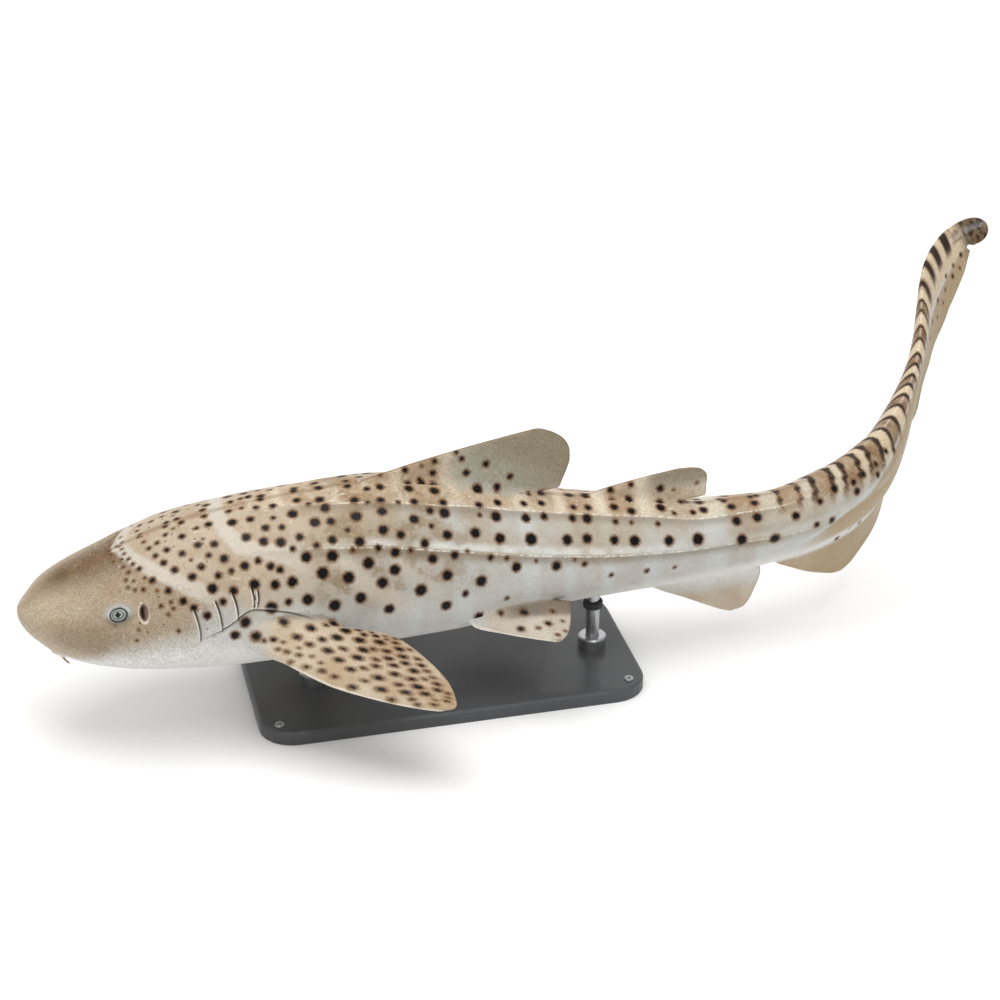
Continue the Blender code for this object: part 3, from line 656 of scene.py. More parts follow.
# How every fin is made: its rows, the points across each face of a row, where a paired fin's root lies
# and how far it droops, and how thick the fin is at its root and towards its tip, in lengths.
UPRIGHT_FINS = {
    "first_dorsal_fin": (FIRST_DORSAL, 50, 0.016, 0.0035),
    "second_dorsal_fin": (SECOND_DORSAL, 36, 0.012, 0.0030),
    "anal_fin": (ANAL, 34, 0.011, 0.0030),
}
PAIRED_FINS = {
    "pectoral_fin": (PECTORAL, 44, PECTORAL_ROOT, PECTORAL_DROOP, 0.027, 0.0030),
    "pelvic_fin": (PELVIC, 32, PELVIC_ROOT, PELVIC_DROOP, 0.016, 0.0030),
}
WEB_POINTS, WEB_RINGS = 20, 190
print("rows of the first dorsal fin:", len(FIRST_DORSAL))

# %% Thin lenses and denser rows
ROW_STEP = 2.3
EDGE_ROWS = 3


def lens(front, back, thick, count):
    """Stations and half thicknesses across a chord: a rounded front, a thin back, never under the edge."""
    even = np.linspace(0, 1, count)
    c = 0.5 * (1 - np.cos(even * math.pi)) * 0.6 + even * 0.4
    bulge = 2.2 * np.sqrt(c) * (1 - c) ** 0.8
    edge = FIN_EDGE / TOTAL_LENGTH
    half = np.maximum(thick * np.minimum(bulge, 1.0), edge) / 2
    return front + (back - front) * c, half * np.clip(np.minimum(c, 1 - c) * 30 + 0.35, 0, 1)


def dense_rows(rows):
    """More rows between the given ones, about evenly spaced, along smooth front and back outlines."""
    out, front, back = np.array(rows, float).T * PERCENT
    way = np.sign(out[-1] - out[0])
    heights = [out[0]]
    for low, high in zip(out[:-1], out[1:]):
        count = max(EDGE_ROWS, int(round(abs(high - low) / (ROW_STEP * MM))))
        heights += list(np.linspace(low, high, count + 1)[1:])
    heights = np.array(heights)
    return heights, smooth(out * way, front, heights * way), smooth(out * way, back, heights * way)


def there_and_back(row, sign=1):
    """A row of values along one face, then back along the other, with its sign turned if wanted."""
    return np.concatenate([row, sign * row[::-1]])


def upright_blade(rows, count, root_thick, tip_thick):
    """Rings of a fin on the middle plane."""
    heights, fronts, backs = dense_rows(rows)
    share = np.abs(heights - heights[0]) / abs(heights[-1] - heights[0])
    rings = []
    for height, front, back, s in zip(heights, fronts, backs, share):
        chord, half = lens(front, back, root_thick + (tip_thick - root_thick) * s ** 0.6, count)
        flat = np.full(2 * count, height)
        rings.append(np.stack([there_and_back(chord), there_and_back(half, -1), flat], -1))
    return rings


def drooping_blade(rows, count, root, droop, root_thick, tip_thick, hand):
    """Rings of a paired fin; hand is -1 for the fish's left and +1 for its right."""
    c, s = math.cos(math.radians(droop)), math.sin(math.radians(droop))
    outs, fronts, backs = dense_rows(rows)
    rings = []
    for out, front, back in zip(outs, fronts, backs):
        share = min(max(out / outs[-1], 0.0), 1.0)
        chord, half = lens(front, back, root_thick + (tip_thick - root_thick) * share ** 0.5, count)
        off = there_and_back(half, -1)
        y = hand * (root[0] * PERCENT + out * c + off * s)
        z = root[1] * PERCENT - out * s + off * c
        rings.append(np.stack([there_and_back(chord), y, z], -1))
    return rings


def web_blade(count, steps):
    """Rings of the tail's lower lobe; each runs from inside the body to the edge."""
    station, edge_drop = np.array(WEB).T * PERCENT
    lean_station, lean = np.array(WEB_LEAN).T
    edge = FIN_EDGE / TOTAL_LENGTH / 2
    share = np.linspace(0, 1, count)
    rings = []
    for u in np.linspace(WEB[0][0], WEB[-1][0], steps) * PERCENT:
        width, _, belly, _, _ = body_sizes(u)
        top = -0.35 * belly
        depth = there_and_back((float(smooth(station, edge_drop, u)) + top) * share)
        half = np.maximum(0.55 * width * (1 - share) ** 1.3 + edge * 1.5 * (1 - share), edge)
        off = there_and_back(half, -1)
        turn = math.radians(float(smooth(lean_station * PERCENT, lean, u)))
        y = off * math.cos(turn) - depth * math.sin(turn)
        z = top - depth * math.cos(turn) - off * math.sin(turn)
        rings.append(np.stack([np.full(2 * count, u), y, z], -1))
    return rings


fins = {name: upright_blade(*fin) for name, fin in UPRIGHT_FINS.items()}
for side, hand in (("left", -1), ("right", 1)):
    for name, fin in PAIRED_FINS.items():
        fins[f"{side}_{name}"] = drooping_blade(*fin, hand)
fins["caudal_lower_lobe"] = web_blade(WEB_POINTS, WEB_RINGS)
print({name: len(rings) for name, rings in fins.items()})

# %% [markdown]
# ## Nasal barbels
#
# The two short feelers under the snout are tapered tubes. A tube is a ring of points carried along a
# path, square to the path at every step, which gives the same result as a curve with a bevel but keeps
# the points in the straight fish's frame.

# %% The barbels' rings
BARBEL_ROOT = (2.40, 2.35, -1.95)
BARBEL_TIP = (3.15, 2.75, -2.98)
BARBEL_RADIUS = 1.6
BARBEL_SAG = (-0.06, 0.0, -0.06)


def barbel_rings(hand, count=14, sides=14):
    """A tapered tube from inside the snout to the barbel's tip, a little bowed."""
    mirror = np.array([1, hand, 1]) * PERCENT
    root, tip, sag = [np.array(v) * mirror for v in (BARBEL_ROOT, BARBEL_TIP, BARBEL_SAG)]
    share = np.linspace(-0.15, 1, count)[:, None]
    path = root + (tip - root) * share + sag * 4 * share * (1 - share)
    rings = []
    for k, point in enumerate(path):
        ahead = path[min(k + 1, count - 1)] - path[max(k - 1, 0)]
        ahead /= np.linalg.norm(ahead)
        side = np.cross(ahead, (0, 1, 0))
        side /= np.linalg.norm(side)
        other = np.cross(ahead, side)
        turn = np.arange(sides)[:, None] * 2 * math.pi / sides
        radius = BARBEL_RADIUS * MM * (1 - 0.6 * max(float(share[k][0]), 0) ** 2)
        rings.append(point + (side * np.cos(turn) + other * np.sin(turn)) * radius)
    return rings


for side, hand in (("left", -1), ("right", 1)):
    fins[side + "_barbel"] = barbel_rings(hand)
print("barbel rings:", len(fins["left_barbel"]))

# %% [markdown]
# ## One closed skin
#
# A boolean union welds the fins to the body. It leaves a hard crease where they meet, while flesh runs
# on smoothly, so the points near each weld are then relaxed: every point moves towards the middle of its
# neighbours, most of all right at the weld. A voxel remesh would weld too, but it would lose the thin
# fins and the carved slits.

# %% Mesh helpers
def mesh_object(name, points, faces):
    """A mesh object from arrays, linked to the scene."""
    data = bpy.data.meshes.new(name)
    data.from_pydata([tuple(p) for p in points], [], [tuple(int(i) for i in f) for f in faces])
    item = bpy.data.objects.new(name, data)
    bpy.context.scene.collection.objects.link(item)
    return item


def turn_outwards(item):
    """Point every face of a closed mesh outwards."""
    mesh = bmesh.new()
    mesh.from_mesh(item.data)
    bmesh.ops.recalc_face_normals(mesh, faces=mesh.faces)
    mesh.to_mesh(item.data)
    mesh.free()


def ring_faces(rows, columns, base=0):
    """Faces between rows of points, each row running round a ring; base is the first point's number."""
    index = base + np.arange(rows * columns).reshape(rows, columns)
    low, high = index[:-1], index[1:]
    faces = np.stack([low, np.roll(low, -1, 1), np.roll(high, -1, 1), high], -1)
    return [tuple(face) for face in faces.reshape(-1, 4)]


def blade_mesh(all_rings):
    """Points and faces of several closed blades, each skinned over its rings and capped at both ends."""
    points, faces = [], []
    for rings in all_rings:
        count = len(rings[0])
        base = sum(len(p) for p in points)
        points.append(np.concatenate(rings))
        index = base + np.arange(len(rings) * count).reshape(len(rings), count)
        faces += ring_faces(len(rings), count, base)
        half = count // 2
        for ring in (index[0], index[-1]):
            near, far = ring[:half], ring[:half - 1:-1]
            faces += [tuple(face) for face in np.stack([near[:-1], near[1:], far[1:], far[:-1]], -1)]
    return np.concatenate(points), faces


def applied(item):
    """The object's mesh with its modifiers worked out."""
    graph = bpy.context.evaluated_depsgraph_get()
    data = bpy.data.meshes.new_from_object(item.evaluated_get(graph))
    item.modifiers.clear()
    item.data = data
    return item


skin = mesh_object("skin", body_points * TOTAL_LENGTH, grid_faces)
turn_outwards(skin)
blade_points, blade_faces = blade_mesh(list(fins.values()))
blades = mesh_object("blades", blade_points * TOTAL_LENGTH, blade_faces)
turn_outwards(blades)
print("body", len(skin.data.vertices), "points, blades", len(blades.data.vertices))

# %% Weld the fins to the body
weld = skin.modifiers.new("weld_fins", "BOOLEAN")
weld.operation = "UNION"
weld.solver = "EXACT"
weld.object = blades
applied(skin)
bpy.data.objects.remove(blades, do_unlink=True)

mesh = bmesh.new()
mesh.from_mesh(skin.data)
bmesh.ops.remove_doubles(mesh, verts=mesh.verts, dist=0.00012)
bmesh.ops.dissolve_degenerate(mesh, dist=0.00005, edges=mesh.edges)
bmesh.ops.triangulate(mesh, faces=mesh.faces)
mesh.to_mesh(skin.data)
mesh.free()
print("skin:", len(skin.data.vertices), "points,", len(skin.data.polygons), "triangles")

# %% Relax the skin along the welds
RELAX_REACH = 7.0
RELAX_ROUNDS = 16
BODY_POINT, FIN_POINT, WELD_POINT = 0, 1, 2


def read_array(items, key, width, kind=float):
    """One property of all points, edges or faces of a mesh, as an array."""
    flat = np.empty(len(items) * width, dtype=kind)
    items.foreach_get(key, flat)
    return flat.reshape(-1, width)


def point_tree(points):
    """A search tree over points."""
    tree = KDTree(len(points))
    for k, point in enumerate(points):
        tree.insert(point, k)
    tree.balance()
    return tree


def kinds_of_points(points):
    """Whether each point comes from the body, from a blade or from the weld between them."""
    body_tree, blade_tree = point_tree(body_points * TOTAL_LENGTH), point_tree(blade_points * TOTAL_LENGTH)
    kinds = np.full(len(points), WELD_POINT)
    for k, point in enumerate(points):
        if body_tree.find(point)[2] < 2e-5:
            kinds[k] = BODY_POINT
        elif blade_tree.find(point)[2] < 2e-5:
            kinds[k] = FIN_POINT
    return kinds


def relax(points, edges, weight, rounds):
    """Move points towards the middle of their neighbours, as far as their weight allows."""
    count = np.bincount(edges.ravel(), minlength=len(points)).astype(float)[:, None]
    for _ in range(rounds):
        total = np.zeros_like(points)
        np.add.at(total, edges[:, 0], points[edges[:, 1]])
        np.add.at(total, edges[:, 1], points[edges[:, 0]])
        points = points + (total / np.maximum(count, 1) - points) * weight[:, None]
    return points


skin_points = read_array(skin.data.vertices, "co", 3)
kinds = kinds_of_points(skin_points)
weld_tree = point_tree(skin_points[kinds == WELD_POINT])
weld_distance = np.array([weld_tree.find(p)[2] for p in skin_points]) * 1000
skin_edges = read_array(skin.data.edges, "vertices", 2, np.int64)
relax_weight = 0.6 * fall(0.5, RELAX_REACH, weld_distance)
straight = relax(skin_points, skin_edges, relax_weight, RELAX_ROUNDS) / TOTAL_LENGTH
print("points from the body, the fins and the weld:", [int((kinds == k).sum()) for k in (0, 1, 2)])

# %% [markdown]
# ## Markings worked out on the straight fish
#
# The markings follow rules of the body: pale bars cross the shoulders, brown saddles cross the back, and
# dark spots stand in rows along the ridges and in columns along the edges of bars and saddles. Each is
# stored on the skin's points as plain numbers, and the material turns them into colour. An image would
# blur, and would have to be unwrapped.

# %% Shoulder bars and back saddles
# A bar's path as station and angle, its half width in millimetres at its start, middle and end, how soft
# its edges are and how pale it is.
PALE_BARS = (
    (((7.2, 92), (7.6, 80), (8.2, 68), (9.2, 55), (10.5, 43), (11.8, 33), (13.2, 25), (14.6, 19)),
     (5.4, 6.2, 7.5), 2.4, 1),
    (((14.1, 92), (14.2, 80), (14.55, 66), (15.3, 54), (16.9, 47.5), (18.3, 43), (19.6, 34), (20.9, 23)),
     (6, 7, 8.6), 2.4, 1),
    (((21.6, 41), (22.2, 32), (23, 22), (24.2, 12), (26.2, 2), (28, -4)), (6, 8, 9), 5, 0.75),
    (((25.8, 30), (26.8, 20), (28.2, 10), (30, 2)), (5, 7, 8), 6, 0.5),
)

# Saddles over the back: station of the middle, half width, both in percent, and how brown it is.
SADDLES = (
    (9.7, 0.9, 0.6), (12.6, 1.2, 0.7), (15.5, 0.9, 0.7), (17.3, 0.8, 0.5), (19.7, 0.9, 0.6),
    (21.4, 0.6, 0.4), (23.5, 0.8, 0.6), (25.6, 0.8, 0.6), (28.7, 1.1, 0.6), (32.4, 1.1, 0.5),
    (34.3, 0.7, 0.5), (37.2, 0.9, 0.6), (40, 1, 0.8), (43.2, 1.1, 0.8), (47.4, 1.8, 0.6),
    (52.5, 1.3, 0.9), (56.3, 0.95, 0.9), (59.3, 1, 0.9), (62.3, 1, 1), (65.5, 1.05, 1), (69.4, 1.15, 1),
    (73.2, 0.95, 1), (76.2, 0.75, 1), (78.9, 0.75, 1), (82, 0.8, 1), (85, 0.7, 1), (87.6, 0.65, 1),
    (90.1, 0.6, 1), (92.2, 0.55, 1), (94.3, 0.5, 1),
)
print("bars:", len(PALE_BARS), "saddles:", len(SADDLES))

# %% Rows of spots
# Every spot is a station in percent, an angle above the widest line and a diameter in millimetres.
SPOT_ROWS = {
    "small dots of the nape": (
        (6.68, 90, 2.4), (6.75, 84.5, 2.2), (6.81, 75, 1.8), (7.37, 73.5, 2.2), (7.37, 66, 2.2),
        (7.68, 59.5, 3), (7.43, 54, 2.6), (7.5, 47.5, 2.2), (7.93, 44, 2.4), (8.49, 42.5, 3.2),
        (9.49, 27, 2.8), (10.18, 28, 2.2), (10.3, 23.5, 2.6), (8.68, 50.5, 2), (9.37, 38.5, 2),
        (10.49, 7, 2.4), (7.87, 11.5, 1.6), (7.68, 2, 1.6), (6.37, 18, 1.4), (7.93, 51, 1.8),
        (9.93, 20, 2)),
    "front edge of the first bar": (
        (7.35, 89, 2.2), (7.5, 84, 2.4), (7.6, 78, 2.6), (7.8, 71, 3), (8.05, 65, 3.2), (8.4, 59, 4.2),
        (9.15, 47, 5.4), (10.1, 36.5, 5.6), (11, 27, 6.2), (11.65, 21, 5.8), (12.5, 14.5, 6.4)),
    "rear edge of the first bar": (
        (8.75, 89, 2.8), (9, 81, 3), (9.25, 73, 4), (9.6, 64.5, 4.4), (10.05, 57, 5.4), (10.7, 49.5, 5.8),
        (11.8, 41.5, 6.4), (13.05, 31, 8), (14.45, 27, 6.8)),
    "shoulder, between the bars": (
        (9.85, 75, 3.8), (10.4, 66, 5), (11.35, 59.5, 5.6), (12.5, 46.5, 5.8), (13.55, 38.5, 5.4),
        (10.5, 79.5, 3.6), (11.55, 73, 5.6), (12.5, 62.5, 5.8), (13.1, 53, 4.6), (12.6, 76.5, 3.8),
        (10.6, 88, 4.6), (11.7, 86.5, 5.4), (13.3, 86, 5.4), (12.9, 66, 1.8), (11.9, 53, 2),
        (11.1, 83, 1.8)),
    "front edge of the second bar": (
        (13.45, 77, 6.2), (13.6, 60, 6.2), (14.1, 48.5, 7), (14.45, 39.5, 4.8), (15.4, 41, 7),
        (16.35, 42.5, 5.2), (17.15, 37.5, 6.2), (17.75, 34.5, 6)),
    "rear edge of the second bar": (
        (15.05, 73.5, 7.6), (15.8, 59.5, 7.4), (16.9, 54, 7.2), (18.05, 51, 8.2), (18.8, 45.5, 4.6),
        (19.65, 39, 8.4), (20.65, 28, 9.8), (22.4, 23, 9.6), (23.15, 10, 9), (25.15, 0, 8.2)),
    "over the gills and the shoulder fin": (
        (15.04, 6, 8.6), (14.29, -1, 7.6), (13.65, 21.5, 5.6), (15.9, 28.5, 8.4), (17.3, 26, 7.6),
        (18.5, 26, 8.4), (16.9, 12.5, 9.6), (18.1, 14.5, 5.6), (19.45, 14, 9.2), (21.3, 8, 9.6)),
    "behind the second bar": (
        (16.3, 72.5, 6.2), (17.2, 63, 6.4), (17.85, 69.5, 4), (18.3, 61, 5.2), (19.2, 69.5, 8.6),
        (19.4, 52, 6.4), (20.6, 60, 8.6), (20.45, 45, 5.4), (21.7, 58.5, 6.8), (21.6, 46.5, 7.2)),
    "along the upper ridge": (
        (15, 84.5, 5), (15.9, 84.5, 3.4), (16.85, 81.5, 5.2), (18, 79.5, 6), (19.7, 80.5, 6.4),
        (20.4, 74.5, 3.6), (21.25, 77, 7.4), (21.5, 69, 7.6), (23.6, 71, 7.4), (24.45, 67.5, 3.4),
        (25.4, 68, 6.8), (26.6, 65.3, 3.6), (27.75, 65.5, 6.6), (29.8, 64.8, 6.6), (32.4, 64.6, 6.6)),
    "on the back": (
        (17.4, 94, 6.6), (19.7, 93, 5.8), (21.4, 91, 6.6), (23.4, 86.5, 6.2), (24.65, 80, 5.4),
        (25.6, 80.5, 6.8), (27.6, 78, 7.6), (28.6, 89, 6.2), (29.4, 76, 8.2), (32.6, 81, 8.6),
        (33.85, 69, 6.6), (35.8, 70.5, 5.8), (37.15, 72.5, 6), (36.4, 83, 3.2), (37.4, 88, 6.8),
        (39.45, 90, 6.4), (39.5, 70, 5.2), (40.6, 70, 6.2), (40.7, 89, 6.8), (42.6, 71, 7.4),
        (43.8, 64.5, 7.4), (43.9, 87, 6.8), (46.2, 72, 8.4), (47.1, 64, 4), (48.6, 67, 5.4),
        (49.5, 71, 7.6), (47.9, 90, 6.4), (49.5, 90, 6.2), (51.65, 69, 7.4), (53.45, 70, 6.6),
        (51.3, 86, 5.6), (53.4, 88, 5.4)),
    "under the upper ridge": (
        (23.5, 59, 9.2), (25.35, 60, 8), (27.5, 53, 8), (28.75, 59, 5.8), (29.75, 57, 8.8),
        (32.3, 56.5, 3.4), (33.5, 56, 9), (35.7, 56, 7.8), (37.1, 58, 6.2), (39.2, 56.8, 6.2),
        (40.3, 56.5, 8.4), (42.4, 52, 4.8), (43.6, 50, 3.2), (45.6, 47, 4.2)),
    "between the ridges": (
        (22.75, 51, 4.2), (23.45, 42.5, 8.2), (25.2, 47.5, 8.2), (26.4, 43.5, 7), (28.65, 48, 4),
        (29.7, 42, 7.8), (28, 37.5, 7.2), (31.75, 43, 8.6), (33.5, 39, 8.8), (35.8, 38, 10.2),
        (38.5, 36, 8.8), (40, 36, 8.4), (42.05, 32, 7.6), (43.6, 28.5, 9.2), (46.25, 24.5, 8.4),
        (48.5, 22, 10.2), (51.7, 41, 8), (53.3, 41, 8), (51.9, 6, 9), (54.4, -5, 8.4)),
    "along the lower ridge": (
        (22.9, 38.2, 3.6), (24.7, 37.2, 5.2), (25.85, 33.5, 7.6), (26.95, 33.8, 3.8), (28.45, 28, 8.2),
        (30.05, 29, 6.8), (31, 31, 2.8), (32.65, 25.7, 5), (33.85, 24.5, 3.4), (36, 20, 2.4),
        (38.9, 17, 2.2)),
    "under the lower ridge": (
        (21.45, 37, 9.4), (23.9, 29.5, 9.6), (25.7, 23.5, 8.8), (24.75, 17, 9), (27.45, 9.5, 10),
        (29.4, 17, 8.8), (31.85, 10, 9.2), (34.5, 17, 8.2), (37.5, 13.5, 8), (39.65, 11, 4.4),
        (29.25, -4.5, 8.6), (30.65, 2.5, 5.6), (31.7, -24, 8.2), (33.75, -10, 3.4), (41.7, -8, 3.6),
        (44.5, -13, 4.2), (46.7, -16, 2.6)),
    "on the tail's flank": (
        (56.1, 28, 6.8), (58.2, 36, 5.6), (59.7, 44, 7), (61.5, 38, 5.8), (61.5, 22, 6.4), (62.7, 40, 6),
        (64.1, 24, 5.4), (57.6, -2, 5), (58.9, -5, 5.4), (64.4, 40, 5.2), (67.3, 34, 5.2),
        (66.3, 45, 5.4)),
}
MIRROR_JITTER = (0.22, 2.2)

random = np.random.default_rng(29)
spots = []
for row in SPOT_ROWS.values():
    for station, angle, size in row:
        spots.append((station, angle, size, -1))
        shift = random.normal(0, 1, 2) * MIRROR_JITTER
        spots.append((station + shift[0], min(angle + shift[1], 90), size * random.uniform(0.85, 1.1), 1))
spots = np.array(spots)
print("spots on the body:", len(spots))

# %% Coordinates of every point of the skin
side_of = np.where(straight[:, 1] < 0, -1.0, 1.0)
skin_u, skin_y, skin_z = straight.T
skin_t = skin_angle(straight)
skin_deg = np.degrees(skin_t)
upper_mm = ridge_offset(UPPER_RIDGE, skin_u, skin_t, side_of)
lower_mm = ridge_offset(LOWER_RIDGE, skin_u, skin_t, side_of)
is_fin = (kinds == FIN_POINT).astype(float)[:, None]
fin_share = relax(is_fin, skin_edges, np.full(len(straight), 0.5), 3)[:, 0]


def lies_in(u_low, u_high, above):
    """Which fin points lie in a stretch of the fish, over (+1) or under (-1) the spine, or to a side (0)."""
    inside = (skin_u > u_low) & (skin_u < u_high) & (fin_share > 0.02)
    return inside & ((np.sign(skin_z) == above) if above else (np.abs(skin_y) > 0.02))


on_first_dorsal = lies_in(0.235, 0.40, 1) & (np.abs(skin_y) < 0.02)
on_second_dorsal = lies_in(0.40, 0.505, 1)
on_anal = lies_in(0.45, 0.547, -1) & (skin_z < -0.03)
on_pectoral = lies_in(0.15, 0.29, 0)
on_pelvic = lies_in(0.30, 0.395, 0) & (skin_z < 0)
on_web = lies_in(0.547, 0.975, -1)
print("fin points:", {name: int(group.sum()) for name, group in (
    ("first dorsal", on_first_dorsal), ("second dorsal", on_second_dorsal), ("anal", on_anal),
    ("pectoral", on_pectoral), ("pelvic", on_pelvic), ("lower lobe", on_web))})

# %% [markdown]
# ### Spots that stay round
#
# A distance to the nearest spot, stored on points two millimetres apart, would draw a small spot as a
# ragged polygon. So the points keep only where they are, and every face keeps the middles and sizes of
# the two spots nearest to it. The material measures the distance between the two, which is exact
# everywhere. The fins' spots are ovals, so they are measured in the fin's own plane, along a slant.

# %% Where points and faces lie, for the spots
FAR = 12.0
SPOT_SLOTS = 2
NO_SPOT = 1e4
PECTORAL_SLANT = 22.0
PELVIC_SLANT = 25.0
face_corners = read_array(skin.data.polygons, "vertices", 3, np.int64)


def drooped(root, droop):
    """Distance out from a paired fin's root in the fin's plane, and height over that plane."""
    c, s = math.cos(math.radians(droop)), math.sin(math.radians(droop))
    out, up = np.abs(skin_y) - root[0] * PERCENT, skin_z - root[1] * PERCENT
    return out * c - up * s, up * c + out * s


def slanted(u, v, slant):
    """Millimetres along and across a slant on a fin's plane."""
    c, s = math.cos(math.radians(slant)), math.sin(math.radians(slant))
    return np.stack([u * c + v * s, v * c - u * s, 0 * u], -1) / MM


pectoral_out, pectoral_up = drooped(PECTORAL_ROOT, PECTORAL_DROOP)
pelvic_out, pelvic_up = drooped(PELVIC_ROOT, PELVIC_DROOP)
plain_skin = np.stack([skin_u, *skin_yz(skin_u, skin_t, side_of)], -1)
spot_place = plain_skin / MM
oval_place = slanted(skin_u, skin_z, 0)
near_pectoral = (skin_z < 0.025) & (skin_u < 0.295)
near_pelvic = (skin_z < 0.010) & (skin_u > 0.295) & (skin_u < 0.42)
oval_place[near_pectoral] = slanted(skin_u, pectoral_out, PECTORAL_SLANT)[near_pectoral]
oval_place[near_pelvic] = slanted(skin_u, pelvic_out, PELVIC_SLANT)[near_pelvic]


def spot_slots():
    """Empty slots: edge distance, middle, radius and stretch of the nearest spots of every face."""
    shape = (SPOT_SLOTS, len(face_corners))
    return [np.full(shape, NO_SPOT), np.full((*shape, 3), NO_SPOT), np.ones(shape), np.ones(shape)]


def lay_spot(slots, faces, middles, centre, radius, stretch=1.0):
    """Put a spot into the slots of the faces that have it among their nearest."""
    away = (middles - centre) / (stretch, 1, 1)
    edge = np.sqrt((away ** 2).sum(1)) - radius
    nearest = edge < slots[0][0, faces]
    second = ~nearest & (edge < slots[0][1, faces])
    first_faces, second_faces = faces[nearest], faces[second]
    for slot, value in zip(slots, (edge, centre, radius, stretch)):
        slot[1, first_faces] = slot[0, first_faces]
        slot[0, first_faces] = edge[nearest] if value is edge else value
        slot[1, second_faces] = edge[second] if value is edge else value

# %% The two nearest spots of every face of the body
spot_slot, oval_slot = spot_slots(), spot_slots()
face_fin = fin_share[face_corners].mean(1)
face_spot_place = spot_place[face_corners].mean(1)
face_oval_place = oval_place[face_corners].mean(1)
body_faces = np.where(face_fin < 0.6)[0]
body_faces = body_faces[np.argsort(face_spot_place[body_faces, 0])]
along_body = face_spot_place[body_faces, 0]
centre_y, centre_z = skin_yz(spots[:, 0] * PERCENT, np.radians(spots[:, 1]), spots[:, 3])
centres = np.stack([spots[:, 0] * PERCENT, centre_y, centre_z], -1) / MM
for centre, size in zip(centres, spots[:, 2]):
    first, last = np.searchsorted(along_body, (centre[0] - 20, centre[0] + 20))
    chosen = body_faces[first:last]
    lay_spot(spot_slot, chosen, face_spot_place[chosen], centre, size / 2)
print("faces under a spot:", int((spot_slot[0][0] < 0).sum()))

# %% Saddles and the dark streaks along their edges
# A station in percent and a value there: how far saddles lean, how wide their streaks are in millimetres
# and at what angle the streaks end.
SADDLE_LEAN = (
    (0, 0), (50, 0), (58, 0.02), (66, 0.034), (72, 0.036), (80, 0.026), (95, 0.01), (100, 0.008),
)
STREAK_WIDTH = ((53.5, 0), (55.5, 2.6), (58, 4.4), (62, 5), (68, 4.4), (74, 2.9), (80, 2.4), (86, 2.2))
STREAK_FOOT = ((0, 60), (55, 52), (60, 34), (66, 30), (72, 22), (80, 14), (90, 5), (95, -10), (100, -90))
# From here back the bars are solid, with these halves of their widths.
SOLID_FROM = 86.5
SOLID_HALF = ((86, 3.2), (90, 5.2), (94, 6), (97, 8), (100, 12))
DASH_LENGTH = 11.0
ARCH_ROUND = 26.0
FAR_LOBE_LINE = -25.0
# The crest where the lower lobe leaves the flank: station and angle.
LOBE_LINE = (
    (54, -45), (56.5, -32), (58.2, -19), (60, -5), (62.1, 2), (64.5, 15.5), (67.6, 30.5), (71.5, 44.5),
    (74.3, 55), (76.5, 53), (78.3, 44), (80.3, 30), (83, -5), (86, -60), (100, -90),
)


def leaned(u, degrees):
    """Station corrected for the way that saddles lean forward down the flank in a round arch."""
    down = np.hypot(90 - degrees, ARCH_ROUND) - np.hypot(15, ARCH_ROUND)
    return u + np.interp(u / PERCENT, *zip(*SADDLE_LEAN)) * PERCENT * down


level_u = leaned(skin_u, skin_deg)
down_mm = np.hypot(skin_y, skin_z - tail_tip_sizes(skin_u)[1]) / MM
saddle = np.zeros(len(straight))
streak_mm = np.full(len(straight), FAR)
for number, (middle, half, brown) in enumerate(SADDLES):
    away = np.abs(level_u - middle * PERCENT)
    saddle = np.maximum(saddle, brown * fall(half * 0.7 * PERCENT, half * 1.4 * PERCENT, away))
    if middle > SOLID_FROM:
        edge = away / MM - np.interp(middle, *zip(*SOLID_HALF))
    else:
        width = np.interp(middle, *zip(*STREAK_WIDTH))
        ahead = np.where(level_u < middle * PERCENT, 0.0, 0.5)
        dash = 0.5 + 0.5 * np.cos(2 * math.pi * (down_mm / DASH_LENGTH + ahead + 0.37 * number))
        even = ramp(0.60, 0.74, skin_u)
        edge = np.abs(away - half * PERCENT * 0.85) / MM - width * (0.32 + 0.68 * np.maximum(dash, even))
        edge = edge if width > 0.2 else FAR
    streak_mm = np.minimum(streak_mm, edge)
lobe_line = np.interp(skin_u / PERCENT, *zip(*LOBE_LINE))
lobe_line = np.where(side_of < 0, lobe_line, np.minimum(lobe_line, FAR_LOBE_LINE))
lobe_mm = np.radians(skin_deg - lobe_line) * np.hypot(skin_y, skin_z) / MM
foot = np.maximum(np.interp(skin_u / PERCENT, *zip(*STREAK_FOOT)), lobe_line + 6)
streak_mm = np.clip(np.maximum(streak_mm, (foot - skin_deg) * 0.10), -FAR, FAR)
streak_mm[fin_share > 0.5] = FAR
tail_only = ramp(0.50, 0.56, skin_u)
upper_share = ramp(-3, 2, upper_mm)
saddle *= np.maximum(upper_share, 0.35 * ramp(0.18, 0.24, skin_u)) * (1 - tail_only) + tail_only
saddle *= ramp(foot - 25, foot + 10, skin_deg) * tail_only + (1 - tail_only)
print("brownest saddle:", round(float(saddle.max()), 2), "points in a streak:", int((streak_mm < 0).sum()))

